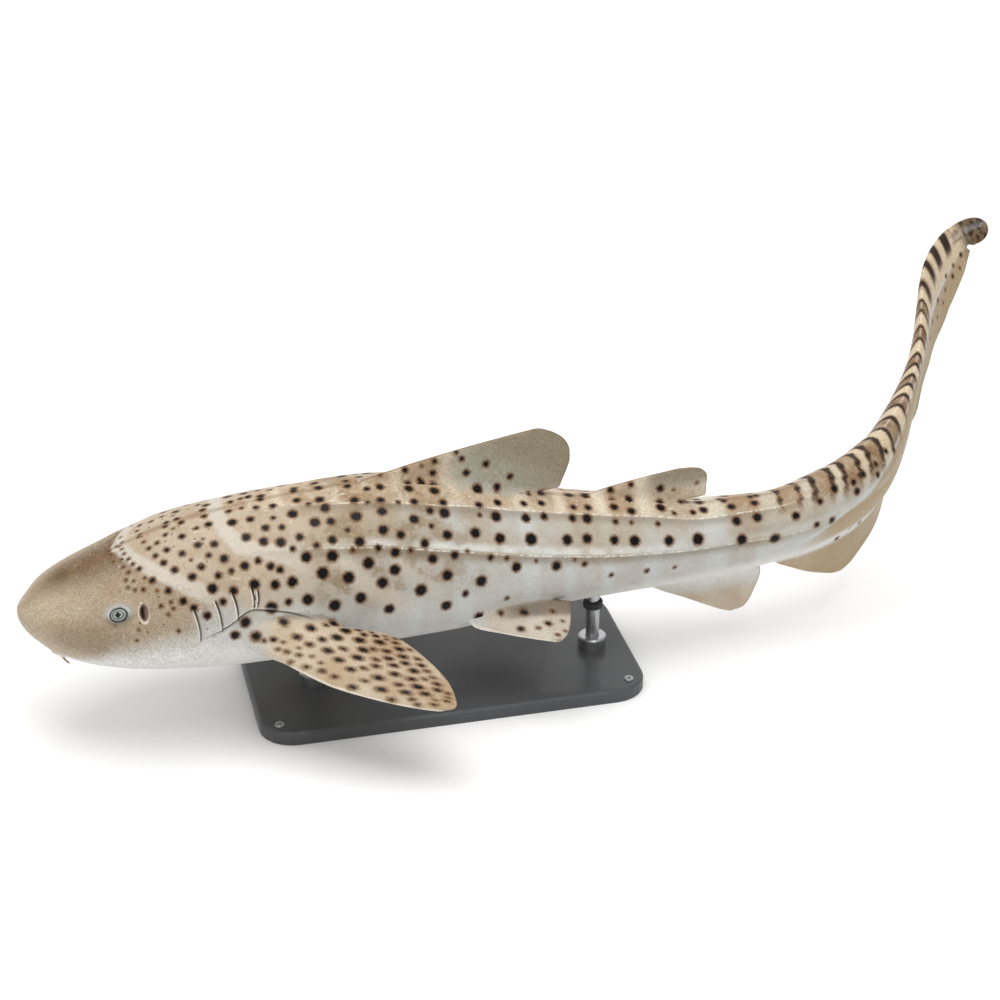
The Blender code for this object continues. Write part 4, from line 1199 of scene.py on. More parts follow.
# %% Pale bars
def bar_amount(path, widths, soft, strength):
    """How deep inside a pale bar each point lies, from 0 to its strength."""
    station, angle = np.array(path, float).T
    at = np.linspace(0, 1, 160)
    known = np.linspace(0, 1, len(station))
    u = np.interp(at, known, station * PERCENT)
    t = np.radians(np.interp(at, known, angle))
    width = np.interp(at, (0, 0.5, 1), widths)
    amount = np.zeros(len(straight))
    chosen = np.where((skin_u > u.min() - 0.02) & (skin_u < u.max() + 0.02))[0]
    for side in (-1, 1):
        y, z = skin_yz(u, t, side)
        line = np.stack([u, y, z], -1)
        away = np.linalg.norm(plain_skin[chosen][:, None, :] - line[None], axis=2) / MM
        nearest = away.argmin(1)
        share = fall(width[nearest] - soft, width[nearest] + soft, away.min(1))
        fade = fall(0.72, 1.0, at[nearest])
        amount[chosen] = np.maximum(amount[chosen], share * fade * strength)
    return amount


pale = np.maximum.reduce([bar_amount(*bar) for bar in PALE_BARS]) * (1 - fin_share)
print("points in a pale bar:", int((pale > 0.5).sum()))

# %% Countershading, head, back and fin tones
BELLY_LINE = (
    (0, -50), (3, -38), (4.3, -26), (6, -9), (10, 1), (12.5, 1), (15, -6), (20, -20), (30, -32),
    (40, -36), (55, -40), (65, -60),
)
# The head's rear edge, as angle and station.
NAPE_LINE = (
    (5, 18), (19, 15.5), (25, 13.6), (33, 12), (43, 10.6), (55, 9.3), (68, 8.4), (80, 7.8), (92, 7.4),
)
belly_line = np.interp(skin_u / PERCENT, *zip(*BELLY_LINE))
belly = fall(belly_line - 14, belly_line + 12, skin_deg)
belly *= fall(0.60, 0.70, skin_u) * ramp(0.010, 0.030, skin_u)
nape_u = np.interp(skin_deg, *zip(*NAPE_LINE))
head_share = fall(-0.008, 0.004, skin_u - nape_u * PERCENT)
head_share *= fall(0.11, 0.165, skin_u)
cheek = window(0.012, 0.030, 0.052, 0.078, skin_u)
cheek *= window(-20, -4, 12, 36, skin_deg)
gill_blue = window(0.112, 0.121, 0.146, 0.156, skin_u)
gill_blue *= window(-14, -4, 13, 24, skin_deg)
dusk = window(0.19, 0.215, 0.27, 0.36, skin_u) * ramp(-5, 14, skin_deg)
shoulder = fall(0.15, 0.30, skin_u - 0.0008 * (skin_deg - 30))
shoulder *= ramp(2, 30, skin_deg)
back_share = upper_share * ramp(0.08, 0.14, skin_u)
back_share = back_share * (1 - tail_only) + tail_only * ramp(5, 60, skin_deg)
back_share = np.maximum(back_share, ramp(0.66, 0.80, skin_u))
low_flank = ramp(2, 10, -lower_mm) * ramp(0.16, 0.24, skin_u)
olive_foot = np.interp(skin_u, (0.30, 0.325, 0.345, 0.40), (0.062, 0.058, 0.050, 0.048))
olive = on_first_dorsal * ramp(0.298, 0.320, skin_u) * ramp(-0.004, 0.006, skin_z - olive_foot)
rear_olive = on_second_dorsal * ramp(0.446, 0.462, skin_u) * ramp(0.035, 0.045, skin_z)
olive = np.maximum(olive, rear_olive)
fin_height = np.clip((skin_z - 0.05) / 0.045 + (skin_u - 0.34) / 0.08, 0, 1) * on_first_dorsal
fin_height = np.maximum(fin_height, np.clip((skin_z - 0.03) / 0.02, 0, 1) * on_second_dorsal)
tan = fin_share * on_pectoral * ramp(0.150, 0.176, skin_u)
tan = np.maximum(tan, on_pelvic * fin_share * ramp(0.314, 0.335, skin_u))
tan = np.maximum(tan, 0.9 * on_anal * fin_share * ramp(0.034, 0.056, -skin_z))
barbel = fin_share * (skin_u < 0.05)
web_depth = (-skin_z - tail_tip_sizes(skin_u)[2]) / MM
tan = np.maximum(tan, on_web * ramp(0, 5, web_depth))
belly *= 1 - tan
tip_dark = ramp(0.952, 0.974, skin_u)
tip_mottle = ramp(0.938, 0.955, skin_u) * ramp(-12, -2, skin_deg)
print("head points:", int((head_share > 0.5).sum()))

# %% Spots of the fins
# Each spot: station and distance out from the fin's root, in percent, and its length in millimetres.
PECTORAL_SPOTS = (
    (15.65, 0.3, 8.5), (17.63, -0.2, 8), (19.43, 0.35, 8.2), (20.53, 0.1, 4), (21.13, -0.15, 7.5),
    (16.13, 0.7, 3.4), (16.78, 0.8, 5), (18.38, 0.92, 7.2), (21.78, 0.7, 9), (22.68, 0.6, 6),
    (23.58, 0.9, 3), (17.38, 1.1, 2.2), (16.98, 1.5, 2.6), (19.13, 1.6, 6.2), (20.03, 1.35, 6.4),
    (21.08, 1.3, 9.2), (22.98, 1.15, 5.6), (23.78, 1.3, 5.8), (24.43, 1.3, 3), (25.13, 1.55, 4),
    (17.53, 1.8, 3.8), (18.28, 2.22, 4), (18.38, 1.75, 1.8), (22.58, 1.65, 9.4), (23.93, 1.9, 8.6),
    (24.48, 1.65, 3.4), (25.03, 2, 5.6), (17.68, 2.5, 3), (19.13, 2.5, 2.6), (20.28, 2.25, 8.6),
    (21.33, 2.25, 6), (22.68, 2.5, 9.2), (23.38, 2.5, 5.2), (24.28, 2.75, 7), (25.18, 2.6, 8),
    (25.88, 2.65, 3.4), (18.63, 3.15, 4.8), (19.63, 3.1, 2.6), (20.88, 3.1, 7.8), (22.18, 3.1, 9.2),
    (23.38, 3.4, 5.6), (24.28, 3.4, 7.6), (25.28, 3.3, 8.2), (26.28, 3.55, 5), (19.63, 3.7, 6),
    (21.53, 3.95, 7.4), (22.43, 4, 5.2), (23.28, 3.95, 6.2), (24.48, 4, 7.4), (25.33, 3.9, 7.2),
    (26.38, 4.15, 6.6), (20.38, 4.3, 5.4), (25.78, 4.6, 8.4), (26.68, 4.7, 5), (24.43, 4.75, 8.2),
    (23.28, 4.9, 9.2), (22.33, 5, 5), (21.43, 5.3, 7), (25.48, 5.3, 7.6), (26.38, 5.4, 4.6),
    (26.98, 5.3, 4.6), (24.53, 5.65, 5.8), (23.28, 5.85, 9), (25.78, 6, 9.6), (27.13, 5.9, 6.4),
    (24.88, 6.35, 8.6), (23.83, 6.7, 5.8), (26.18, 6.65, 8.2), (27.08, 6.4, 7), (25.18, 6.95, 5.6),
    (25.48, 7.4, 4.4), (26.58, 7.6, 5), (27.48, 7.4, 4.2), (27.63, 7.1, 3), (26.68, 7.2, 2.6),
    (27.68, 6.75, 4),
)
PELVIC_SPOTS = (
    (31.68, 0.1, 6.6), (33.28, 0.45, 4.4), (34.93, 0.55, 7.4), (34.43, 1.85, 6.2), (36.03, -0.7, 6.5),
    (37.68, -0.5, 4.8), (37.03, 0.65, 3.6), (36.48, 1.65, 5.6), (35.68, 1.95, 3.6), (37.58, 1.5, 1.8),
    (36.93, 2.7, 2.8), (37.58, 2.4, 1.8),
)
# On the upright fins the second number is the height over the spine.
FIRST_DORSAL_SPOTS = (
    (24.75, 7.6, 2), (25.75, 7.7, 4.8), (27.55, 7.75, 5), (28.5, 7, 4.2), (28.7, 7.95, 2),
    (29.65, 8.2, 4.4), (29.5, 7.35, 5.4), (31.25, 8.7, 3.4), (31.6, 8.2, 4.6), (31.9, 7.1, 5.8),
    (33.35, 7.6, 6), (34.1, 5.75, 6), (35.1, 6.4, 5.4),
)
SECOND_DORSAL_SPOTS = (
    (40.65, 4.35, 5.6), (42.6, 4.3, 5.4), (43.85, 3.55, 4.8), (44.1, 4.55, 4.4), (46.35, 4, 6.4),
    (47.35, 3.75, 1.8), (49.2, 4, 2.4),
)
TAIL_LOBE_SPOTS = (
    (60.4, -2.9, 3.6), (61.6, -2.4, 3.2), (62.9, -2.7, 3), (64.5, -2.1, 3.4), (84.4, -1.9, 2.6),
    (86, -1.6, 3), (87.4, -2.3, 2.8), (88.6, -1.5, 4.6), (89.4, -2.4, 2.6), (90.6, -1.9, 3),
    (91.6, -1.2, 4), (92.6, -1.9, 5), (93.4, -1.3, 3.4), (94.2, -2, 2.6), (95.2, -1.2, 5.4),
)


def lay_ovals(group, rows, slant, stretches):
    """Lay ovals on the faces of a fin, their length along a slant; the stretch follows the way out."""
    faces = np.where(group[face_corners].all(1))[0]
    middles = face_oval_place[faces]
    for u, v, size in rows:
        stretch = np.interp(v, *zip(*stretches))
        centre = slanted(np.float64(u * PERCENT), np.float64(v * PERCENT), slant)
        lay_spot(oval_slot, faces, middles, centre, size / 2 / stretch, stretch)


lay_ovals(on_pectoral & (pectoral_up > 0), PECTORAL_SPOTS, PECTORAL_SLANT, ((0, 1.3), (3, 1.8), (8, 2.2)))
lay_ovals(on_pelvic & (pelvic_up > 0), PELVIC_SPOTS, PELVIC_SLANT, ((0, 1.1), (3, 1.5)))
lay_ovals(on_first_dorsal, FIRST_DORSAL_SPOTS, 0, ((0, 1.0), (9, 1.0)))
lay_ovals(on_second_dorsal, SECOND_DORSAL_SPOTS, 0, ((0, 1.0), (9, 1.0)))
lay_ovals(on_web, TAIL_LOBE_SPOTS, 0, ((-9, 1.3), (9, 1.3)))
# A spot on the back that reaches up a dorsal fin's root goes on over the fin.
at_root = (spots[:, 3] < 0) & (spots[:, 1] > 68) & (spots[:, 0] > 26) & (spots[:, 0] < 50)
root_spots = np.stack([spots[at_root, 0], centre_z[at_root] / PERCENT, spots[at_root, 2]], -1)
lay_ovals(on_first_dorsal | on_second_dorsal, root_spots, 0, ((0, 1.0), (9, 1.0)))
print("faces under a fin's spot:", int((oval_slot[0][0] < 0).sum()))

# %% Hollows, flap edges and rims
def carving_marks():
    """Painted shade in the hollows, pink linings, pale rims and flap edges of the carved places."""
    hollow, lining, rim = np.zeros((3, len(straight)))
    flap = np.full(len(straight), FAR)
    flap_shows = np.zeros(len(straight))
    for side in (-1, 1):
        ring, along, up = ring_round(straight, side_of, SPIRACLE_PLACE, SPIRACLE_OPENING, side)
        inside = fall(0.80, 0.98, ring)
        lining = np.maximum(lining, inside)
        hollow = np.maximum(hollow, inside * (1 - 0.85 * ramp(-2.2, 1.8, along)))
        below = ramp(-0.3, 0.8, -up / SPIRACLE_OPENING[1])
        below = np.maximum(below, 0.8 * ramp(-0.2, 0.6, -along / 3))
        rim = np.maximum(rim, bump(ring, 1.1, 0.10) * (0.15 + 0.75 * below))
    for slit in GILL_SLITS:
        behind, inside = slit_offsets(skin_u, skin_t, skin_z, slit)
        closer = np.abs(behind + 0.4) < np.abs(flap + 0.4)
        flap = np.where(closer, behind, flap)
        flap_shows = np.where(closer, inside * fall(3.0, 4.5, np.abs(behind)), flap_shows)
    cleft = mouth_offset(skin_u, skin_y)
    under = (skin_deg < -30) & (np.abs(skin_y) < MOUTH_HALF_WIDTH * PERCENT)
    hollow = np.maximum(hollow, under * bump(cleft, 0, 0.9))
    pit = fall(0.8, 2.2, nostril_offset(skin_u, skin_y))
    hollow = np.maximum(hollow, (skin_deg < -20) * pit * (skin_u < 0.06))
    return hollow, lining, rim, np.clip(flap, -FAR, FAR), flap_shows


def rim_distance(group, across, rows):
    """Millimetres from a fin's front outline, and from its rear outline or its tip."""
    out, front, back = np.array(rows, float).T * PERCENT
    way = np.sign(out[-1] - out[0])
    lead = (skin_u - np.interp(across * way, out * way, front)) / MM
    trail = np.minimum(np.interp(across * way, out * way, back) - skin_u, (out[-1] - across) * way) / MM
    return np.where(group, np.clip(lead, 0, FAR), FAR), np.where(group, np.clip(trail, 0, FAR), FAR)


rims = [rim_distance(group & (fin_share > 0.3), across, rows) for group, across, rows in (
    (on_pectoral, pectoral_out, PECTORAL), (on_pelvic, pelvic_out, PELVIC), (on_anal, skin_z, ANAL),
    (on_first_dorsal, skin_z, FIRST_DORSAL), (on_second_dorsal, skin_z, SECOND_DORSAL))]
lead_mm = np.minimum.reduce([lead for lead, _ in rims])
trail_mm = np.minimum.reduce([trail for _, trail in rims])
upright = on_first_dorsal | on_second_dorsal
root_shade = on_pectoral * (pectoral_up > 0) * bump(pectoral_out / MM, -6.5, 3.0)
root_shade *= ramp(0.16, 0.18, skin_u)
# Where the body's shadow is painted on the pelvic fin's inner root.
pelvic_root = (pelvic_up > -0.004) * fall(0.007, 0.012, pelvic_out) * ramp(0.325, 0.345, skin_u)
hollow, lining, rim, flap_mm, flap_shows = carving_marks()
crease_mm, crease_shows = foot_crease(skin_u, skin_t)
crease_shows = crease_shows * fall(3.5, 5.0, np.abs(crease_mm))
eye_rings = [ring_round(straight, side_of, EYE_PLACE, EYE_OPENING, side)[0] for side in (-1, 1)]
eye_share = np.minimum(np.minimum(*eye_rings), 9.0)
keel = on_web * bump(web_depth, -0.3, 1.7)
keel *= window(0.56, 0.62, 0.90, 0.95, skin_u)
print("hollow points:", int((hollow > 0.5).sum()))

# %% Store the numbers on the skin
def store(item, name, values, domain="POINT"):
    """Put one number or one place per point or face on a mesh, for its material to read."""
    values = np.asarray(values, dtype=np.float32)
    assert np.isfinite(values).all(), name
    kind, key = ("FLOAT_VECTOR", "vector") if values.ndim == 2 else ("FLOAT", "value")
    item.data.attributes.new(name, kind, domain).data.foreach_set(key, values.ravel())


def near(distance):
    """A distance kept within what matters for colour."""
    return np.clip(distance, -FAR, FAR)


stored_numbers = {
    "station": skin_u, "height": skin_deg / 90,
    "fin": fin_share, "fin_height": fin_height, "upright": upright,
    "upper_mm": near(upper_mm), "lower_mm": near(lower_mm), "lobe_mm": near(lobe_mm), "lead_mm": lead_mm,
    "trail_mm": trail_mm, "streak_mm": streak_mm, "flap_mm": flap_mm, "flap_shows": flap_shows,
    "crease_mm": near(crease_mm), "crease_shows": crease_shows, "eye_share": eye_share,
    "crest_mm": np.where((skin_deg > 60) & (fin_share < 0.5), near(np.abs(skin_y) / MM), FAR),
    "head": head_share, "cheek": cheek, "gill_blue": gill_blue, "dusk": dusk, "shoulder": shoulder,
    "back": back_share, "low_flank": low_flank, "belly": belly, "pale": pale, "saddle": saddle,
    "olive": olive, "tan": tan, "pelvic": on_pelvic * fin_share, "pelvic_root": pelvic_root,
    "root_shade": root_shade,
    "keel": keel, "barbel": barbel, "tip_dark": tip_dark, "tip_mottle": tip_mottle, "hollow": hollow,
    "lining": lining, "rim": rim,
}
for name, values in stored_numbers.items():
    store(skin, name, values)
store(skin, "spot_place", spot_place)
store(skin, "oval_place", oval_place)
for family, slots in (("spot", spot_slot), ("oval", oval_slot)):
    for number in range(SPOT_SLOTS):
        for part, values in zip(("middle", "radius", "stretch"), slots[1:]):
            store(skin, f"{family}_{part}_{number}", values[number], "FACE")
print("stored:", len(stored_numbers), "kinds of number on", len(straight), "points")

# %% [markdown]
# ## The skin's material
#
# Shark skin is matt sand under a wet gloss. The material lays its colours over each other from the
# broadest to the finest: ground tones of head, back, flank and belly, then saddles, bars, the painted
# shade and sheen of the ridges, spots and the painted shade of hollows, then a grain of tiny scales with
# painted glints. The broad tones come from the numbers stored on the points, the grain from noise in
# object coordinates, which has no seams anywhere.

# %% Small helpers for node trees
def tone(red, green, blue):
    """A screen colour, 0 to 255, as the linear colour that a shader needs."""
    parts = [v / 255 for v in (red, green, blue)]
    return tuple(v / 12.92 if v <= 0.04045 else ((v + 0.055) / 1.055) ** 2.4 for v in parts) + (1.0,)


def node(tree, kind, inputs=None, **settings):
    """Add a node; an input is either a value or another node's output."""
    made = tree.nodes.new(kind)
    for key, value in settings.items():
        setattr(made, key, value)
    for key, value in (inputs or {}).items():
        if isinstance(value, bpy.types.NodeSocket):
            tree.links.new(value, made.inputs[key])
        else:
            made.inputs[key].default_value = value
    return made


class Paint:
    """A material built up from layers of colour; every method adds nodes to its tree."""

    def __init__(self, name, **surface):
        """Start with a Principled shader, its uniform values set on the shader's own sockets."""
        self.material = bpy.data.materials.new(name)
        self.material.use_nodes = True
        self.tree = self.material.node_tree
        self.shader = self.tree.nodes["Principled BSDF"]
        for key, value in surface.items():
            self.shader.inputs[key.replace("_", " ")].default_value = value
        self.coords = self.node("ShaderNodeTexCoord").outputs["Object"]
        self.colour = None

    def node(self, kind, inputs=None, **settings):
        """Add a node; an input given as a name is the number stored on the mesh under that name."""
        given = {key: self.stored(value).outputs["Fac"] if isinstance(value, str) else value
                 for key, value in (inputs or {}).items()}
        return node(self.tree, kind, given, **settings)

    def stored(self, name):
        """What is stored on the mesh under a name."""
        return self.node("ShaderNodeAttribute", attribute_name=name)

    def maths(self, operation, *values):
        """One step of arithmetic."""
        return self.node("ShaderNodeMath", dict(enumerate(values)), operation=operation).outputs[0]

    def vector(self, operation, *values):
        """One step of arithmetic on places."""
        made = self.node("ShaderNodeVectorMath", dict(enumerate(values)), operation=operation)
        return made.outputs["Value" if operation == "LENGTH" else "Vector"]

    def times(self, *values):
        """Several numbers multiplied."""
        result = values[0]
        for value in values[1:]:
            result = self.maths("MULTIPLY", result, value)
        return result

    def rest(self, value):
        """What is left of 1 beside a number."""
        return self.maths("SUBTRACT", 1.0, value)

    def step(self, value, low, high, start=0.0, end=1.0):
        """A soft step from start, below low, to end, above high."""
        inputs = {"Value": value, "From Min": low, "From Max": high, "To Min": start, "To Max": end}
        return self.node("ShaderNodeMapRange", inputs, interpolation_type="SMOOTHSTEP").outputs["Result"]

    def fall(self, value, low, high, start=1.0):
        """A soft step down to 0."""
        return self.step(value, low, high, start, 0.0)

    def window(self, value, start, full, last, end):
        """1 between full and last, with soft steps up from start and down to end."""
        return self.times(self.step(value, start, full), self.fall(value, last, end))

    def noise(self, scale, detail=2.0, roughness=0.5, distortion=0.0, coords=None):
        """Noise from 0 to 1 at a scale per metre."""
        inputs = {"Vector": self.coords if coords is None else coords, "Scale": scale, "Detail": detail,
                  "Roughness": roughness, "Distortion": distortion}
        return self.node("ShaderNodeTexNoise", inputs).outputs[0]

    def clouds(self, scale, detail, low, high, start=0.0, end=1.0, roughness=0.5):
        """Noise with a soft step laid over it, which makes patches."""
        return self.step(self.noise(scale, detail, roughness), low, high, start, end)

    def mix(self, amount, under, over, blend="MIX"):
        """One colour laid over another."""
        inputs = {0: amount, 6: under, 7: over}
        return self.node("ShaderNodeMix", inputs, data_type="RGBA", blend_type=blend).outputs[2]

    def lay(self, colour, *amounts, blend="MIX"):
        """Lay a colour over all that is there; the numbers multiplied say how much of it."""
        self.colour = self.mix(self.times(*amounts), self.colour, colour, blend)

    def drive(self, socket, value):
        """Let nodes set one of the shader's values."""
        self.tree.links.new(value, self.shader.inputs[socket])

    def emboss(self, height, strength, distance):
        """Let a height stand up from the surface."""
        relief = self.node("ShaderNodeBump", {"Height": height, "Strength": strength, "Distance": distance})
        self.drive("Normal", relief.outputs[0])

    def done(self):
        """Hand over the material with its colour linked."""
        self.drive("Base Color", self.colour)
        return self.material


print("tone check:", [round(v, 3) for v in tone(183, 162, 137)[:3]])

# %% Colours of a zebra shark
FLANK_GREY = tone(176, 168, 152)
FLANK_PALE = tone(191, 192, 188)
SHOULDER_SAND = tone(181, 165, 144)
BACK_SAND = tone(209, 193, 171)
BACK_CREAM = tone(211, 198, 179)
SNOUT_SAND = tone(178, 162, 139)
HEAD_TAUPE = tone(163, 146, 124)
CROWN_BROWN = tone(102, 79, 54)
CHEEK_SHADE = tone(138, 122, 100)
GILL_BLUE = tone(186, 188, 184)
BARBEL_BROWN = tone(150, 120, 92)
TIP_BROWN = tone(112, 92, 68)
DUSK_BROWN = tone(138, 121, 92)
SADDLE_BROWN = tone(150, 121, 90)
TAIL_BROWN = tone(112, 84, 56)
TAIL_BASE_CREAM = tone(206, 196, 176)
TAIL_CREAM = tone(206, 186, 157)
BAR_CREAM = tone(193, 184, 170)
BELLY_WHITE = tone(213, 212, 207)
FIN_TAN = tone(191, 175, 152)
FIN_TIP_TAN = tone(172, 149, 119)
FIN_OLIVE = tone(140, 130, 108)
FIN_GREY = tone(168, 166, 152)
PELVIC_CREAM = tone(187, 180, 167)
# Painted shade: the body's shadow over the pelvic fin's inner root.
PELVIC_ROOT_SHADE = tone(104, 93, 80)
LOBE_TAN = tone(168, 149, 119)
SPOT_BLACK = tone(8, 5, 4)
# A painted sheen: the colour of a wet highlight.
SHEEN_PALE = tone(214, 215, 211)
SPOT_RUST = tone(104, 70, 40)
STREAK_BROWN = tone(52, 38, 28)
# Painted shade inside slits, pits, the mouth's cleft and creases.
HOLLOW_SHADE = tone(34, 20, 15)
LINING_PINK = tone(160, 132, 118)
FOLD_SHADE = tone(112, 100, 82)
EYE_HALO = tone(182, 187, 186)
EYE_SHADE = tone(122, 114, 98)
KEEL_PALE = tone(196, 199, 199)
REAR_SHADE = tone(138, 126, 108)
# Pale edges of fins, gills and crests; also the colour of the painted glints and wet highlights.
PALE_EDGE_AND_GLINT = tone(236, 228, 214)
EDGE_BROWN = tone(118, 94, 66)
HEAD_DOT = tone(104, 70, 42)
print("colours of the skin: 40")

# %% Ground tones of head, back, flank and belly
def ground_layers(paint):
    """Head, shoulder, back, flank and belly, then saddles, bars and fins."""
    patches = paint.clouds(46.0, 4.0, 0.44, 0.62, roughness=0.65)
    paint.colour = paint.mix(paint.clouds(17.0, 3.0, 0.35, 0.7), FLANK_GREY, FLANK_PALE)
    paint.lay(FLANK_PALE, "low_flank")
    paint.lay(SHOULDER_SAND, "shoulder")
    rear = paint.mix(paint.step("station", 0.58, 0.66), TAIL_BASE_CREAM, TAIL_CREAM)
    paint.lay(paint.mix(paint.step("station", 0.38, 0.50), BACK_SAND, rear), "back")
    light = paint.clouds(62.0, 3.0, 0.46, 0.66, roughness=0.6)
    paint.lay(BACK_CREAM, light, "back", paint.fall("station", 0.56, 0.66, 0.55))
    paint.lay(REAR_SHADE, paint.step("height", 0.05, 0.20), paint.step("station", 0.49, 0.53),
              paint.step("station", 0.56, 0.62, 0.36, 0.12))
    paint.lay(paint.mix(paint.step("station", 0.020, 0.060), SNOUT_SAND, HEAD_TAUPE), "head")
    paint.lay(CHEEK_SHADE, "cheek", 0.6)
    paint.lay(GILL_BLUE, "gill_blue", 0.7)
    paint.lay(DUSK_BROWN, "dusk", paint.step(patches, 0.0, 1.0, 0.35, 0.85))
    paint.lay(CROWN_BROWN, "head", paint.step("height", 0.55, 1.0),
              paint.step("station", 0.004, 0.034, 0.15, 1.0))
    paint.lay(paint.mix(paint.clouds(28.0, 2.0, 0.35, 0.65), FIN_TAN, FIN_TIP_TAN), "tan")
    paint.lay(LOBE_TAN, "tan", paint.step("station", 0.55, 0.60))
    paint.lay(paint.mix(paint.times(patches, 0.4), PELVIC_CREAM, FIN_TAN), "tan", "pelvic")
    # Painted shade of the body over the pelvic fin's inner root.
    paint.lay(PELVIC_ROOT_SHADE, "pelvic", "pelvic_root", 0.85)
    mottle = paint.clouds(75.0, 4.0, 0.25, 0.65, 0.5, 1.0, roughness=0.6)
    saddle_colour = paint.mix(paint.step("station", 0.55, 0.72), SADDLE_BROWN, TAIL_BROWN)
    paint.lay(saddle_colour, "saddle", mottle)
    paint.lay(SADDLE_BROWN, patches, 0.3, "shoulder")
    paint.lay(BAR_CREAM, "pale")
    paint.lay(paint.mix("fin_height", FIN_GREY, FIN_OLIVE), "olive")
    paint.lay(FOLD_SHADE, "root_shade", 0.6)
    paint.lay(KEEL_PALE, "keel")
    stretch = paint.window("station", 0.555, 0.60, 0.83, 0.86)
    paint.lay(LOBE_TAN, paint.fall("lobe_mm", -1.4, 0.4), stretch, paint.rest("fin"))
    paint.lay(KEEL_PALE, paint.window("lobe_mm", 0.0, 1.2, 1.6, 4.0), stretch, 0.6)
    blotches = paint.clouds(100.0, 1.0, 0.42, 0.62)
    paint.lay(TIP_BROWN, "tip_mottle", blotches, 0.8)
    paint.lay(paint.mix(blotches, TIP_BROWN, STREAK_BROWN), "tip_dark")
    paint.lay(BELLY_WHITE, "belly")
    paint.lay(BARBEL_BROWN, "barbel")


print("ground layers ready")

# %% Ridges, fin rims and the grain of the scales
def fold_layers(paint):
    """Painted shade under both ridges, broken pale lines on their crests, a painted sheen, the back's crest.
    """
    reach = paint.window("station", 0.15, 0.25, 0.50, 0.62)
    dash = paint.clouds(230.0, 1.0, 0.44, 0.56)
    # Painted shade under each ridge, and a broken pale line on its crest.
    for name, strength in (("upper_mm", 0.45), ("lower_mm", 0.48)):
        paint.lay(FOLD_SHADE, paint.fall(name, -1.8, 0.3), paint.step(name, -12.0, -1.5),
                  strength, reach)
        paint.lay(PALE_EDGE_AND_GLINT, paint.fall(paint.maths("ABSOLUTE", name), 0.3, 1.0, 0.6), dash, reach)
    # A painted sheen: patches of wet highlight just above the lower ridge.
    paint.lay(SHEEN_PALE, paint.window("lower_mm", 0.6, 2.6, 4.5, 10.5),
              paint.clouds(55.0, 3.0, 0.30, 0.62, 0.15, 0.75), paint.step("station", 0.20, 0.26),
              paint.step("station", 0.40, 0.50, 1.0, 0.25))
    paint.lay(EDGE_BROWN, paint.fall("crest_mm", 1.0, 4.5, 0.4),
              paint.window("station", 0.03, 0.08, 0.56, 0.64))
    paint.lay(PALE_EDGE_AND_GLINT, paint.fall("crest_mm", 0.3, 1.3, 0.32),
              paint.window("station", 0.62, 0.68, 0.84, 0.90))


def rim_layers(paint):
    """Pale leading rims on the paired fins, brown ones on the upright fins, thin dark trailing rims."""
    paint.lay(PALE_EDGE_AND_GLINT, paint.fall("lead_mm", 0.6, 2.2, 0.6), paint.rest("upright"),
              paint.step("station", 0.160, 0.185))
    paint.lay(EDGE_BROWN, paint.fall("lead_mm", 0.8, 4.5, 0.55), "upright")
    paint.lay(EDGE_BROWN, paint.fall("trail_mm", 0.3, 1.6, 0.5),
              paint.clouds(90.0, 1.0, 0.3, 0.7, 0.35, 0.8))


def grain_layers(paint, worms, grain):
    """The worm-like grain of the scales, and painted highlights: the rare pale glint of a dry or a wet one.
    """
    fine = paint.times(paint.step(worms, 0.36, 0.64, 0.82, 1.13), paint.step(grain, 0.3, 0.7, 0.90, 1.08))
    gray = paint.node("ShaderNodeCombineColor", {0: fine, 1: fine, 2: fine}).outputs[0]
    rough = paint.maths("MAXIMUM", "head", paint.times("back", 0.8))
    paint.lay(gray, paint.maths("MAXIMUM", rough, 0.4), blend="MULTIPLY")
    # Painted glints: rare pale specks for the highlights of single scales.
    paint.lay(PALE_EDGE_AND_GLINT, paint.clouds(700.0, 1.0, 0.67, 0.73, 0.0, 0.5), paint.clouds(60.0, 2.0, 0.48, 0.62),
              paint.rest("belly"))
    # Painted wet highlights: short pale streaks on the back and the shoulders.
    along = paint.vector("MULTIPLY", paint.coords, (0.30, 0.55, 1.0))
    wet = paint.step(paint.noise(600.0, 1.0, coords=along), 0.64, 0.70, 0.0, 0.42)
    paint.lay(PALE_EDGE_AND_GLINT, wet, paint.rest("fin"), paint.clouds(38.0, 3.0, 0.52, 0.62),
              paint.maths("MAXIMUM", "back", paint.times("shoulder", 0.8)))


print("folds, rims and grain ready")

# %% Spots, streaks and openings
def spot_edge(paint):
    """Millimetres from the edge of the nearest spot or oval, a little ragged; and the raggedness."""
    nearest = FAR
    for family in ("spot", "oval"):
        place = paint.stored(family + "_place").outputs["Vector"]
        for number in range(SPOT_SLOTS):
            middle = paint.stored(f"{family}_middle_{number}").outputs["Vector"]
            scale = paint.node("ShaderNodeCombineXYZ", {0: f"{family}_stretch_{number}", 1: 1.0, 2: 1.0})
            away = paint.vector("DIVIDE", paint.vector("SUBTRACT", place, middle), scale.outputs[0])
            edge = paint.maths("SUBTRACT", paint.vector("LENGTH", away), f"{family}_radius_{number}")
            nearest = paint.maths("MINIMUM", nearest, edge)
    ragged = paint.clouds(420.0, 2.0, 0.3, 0.7, -0.4, 0.4)
    return paint.maths("ADD", nearest, ragged), ragged


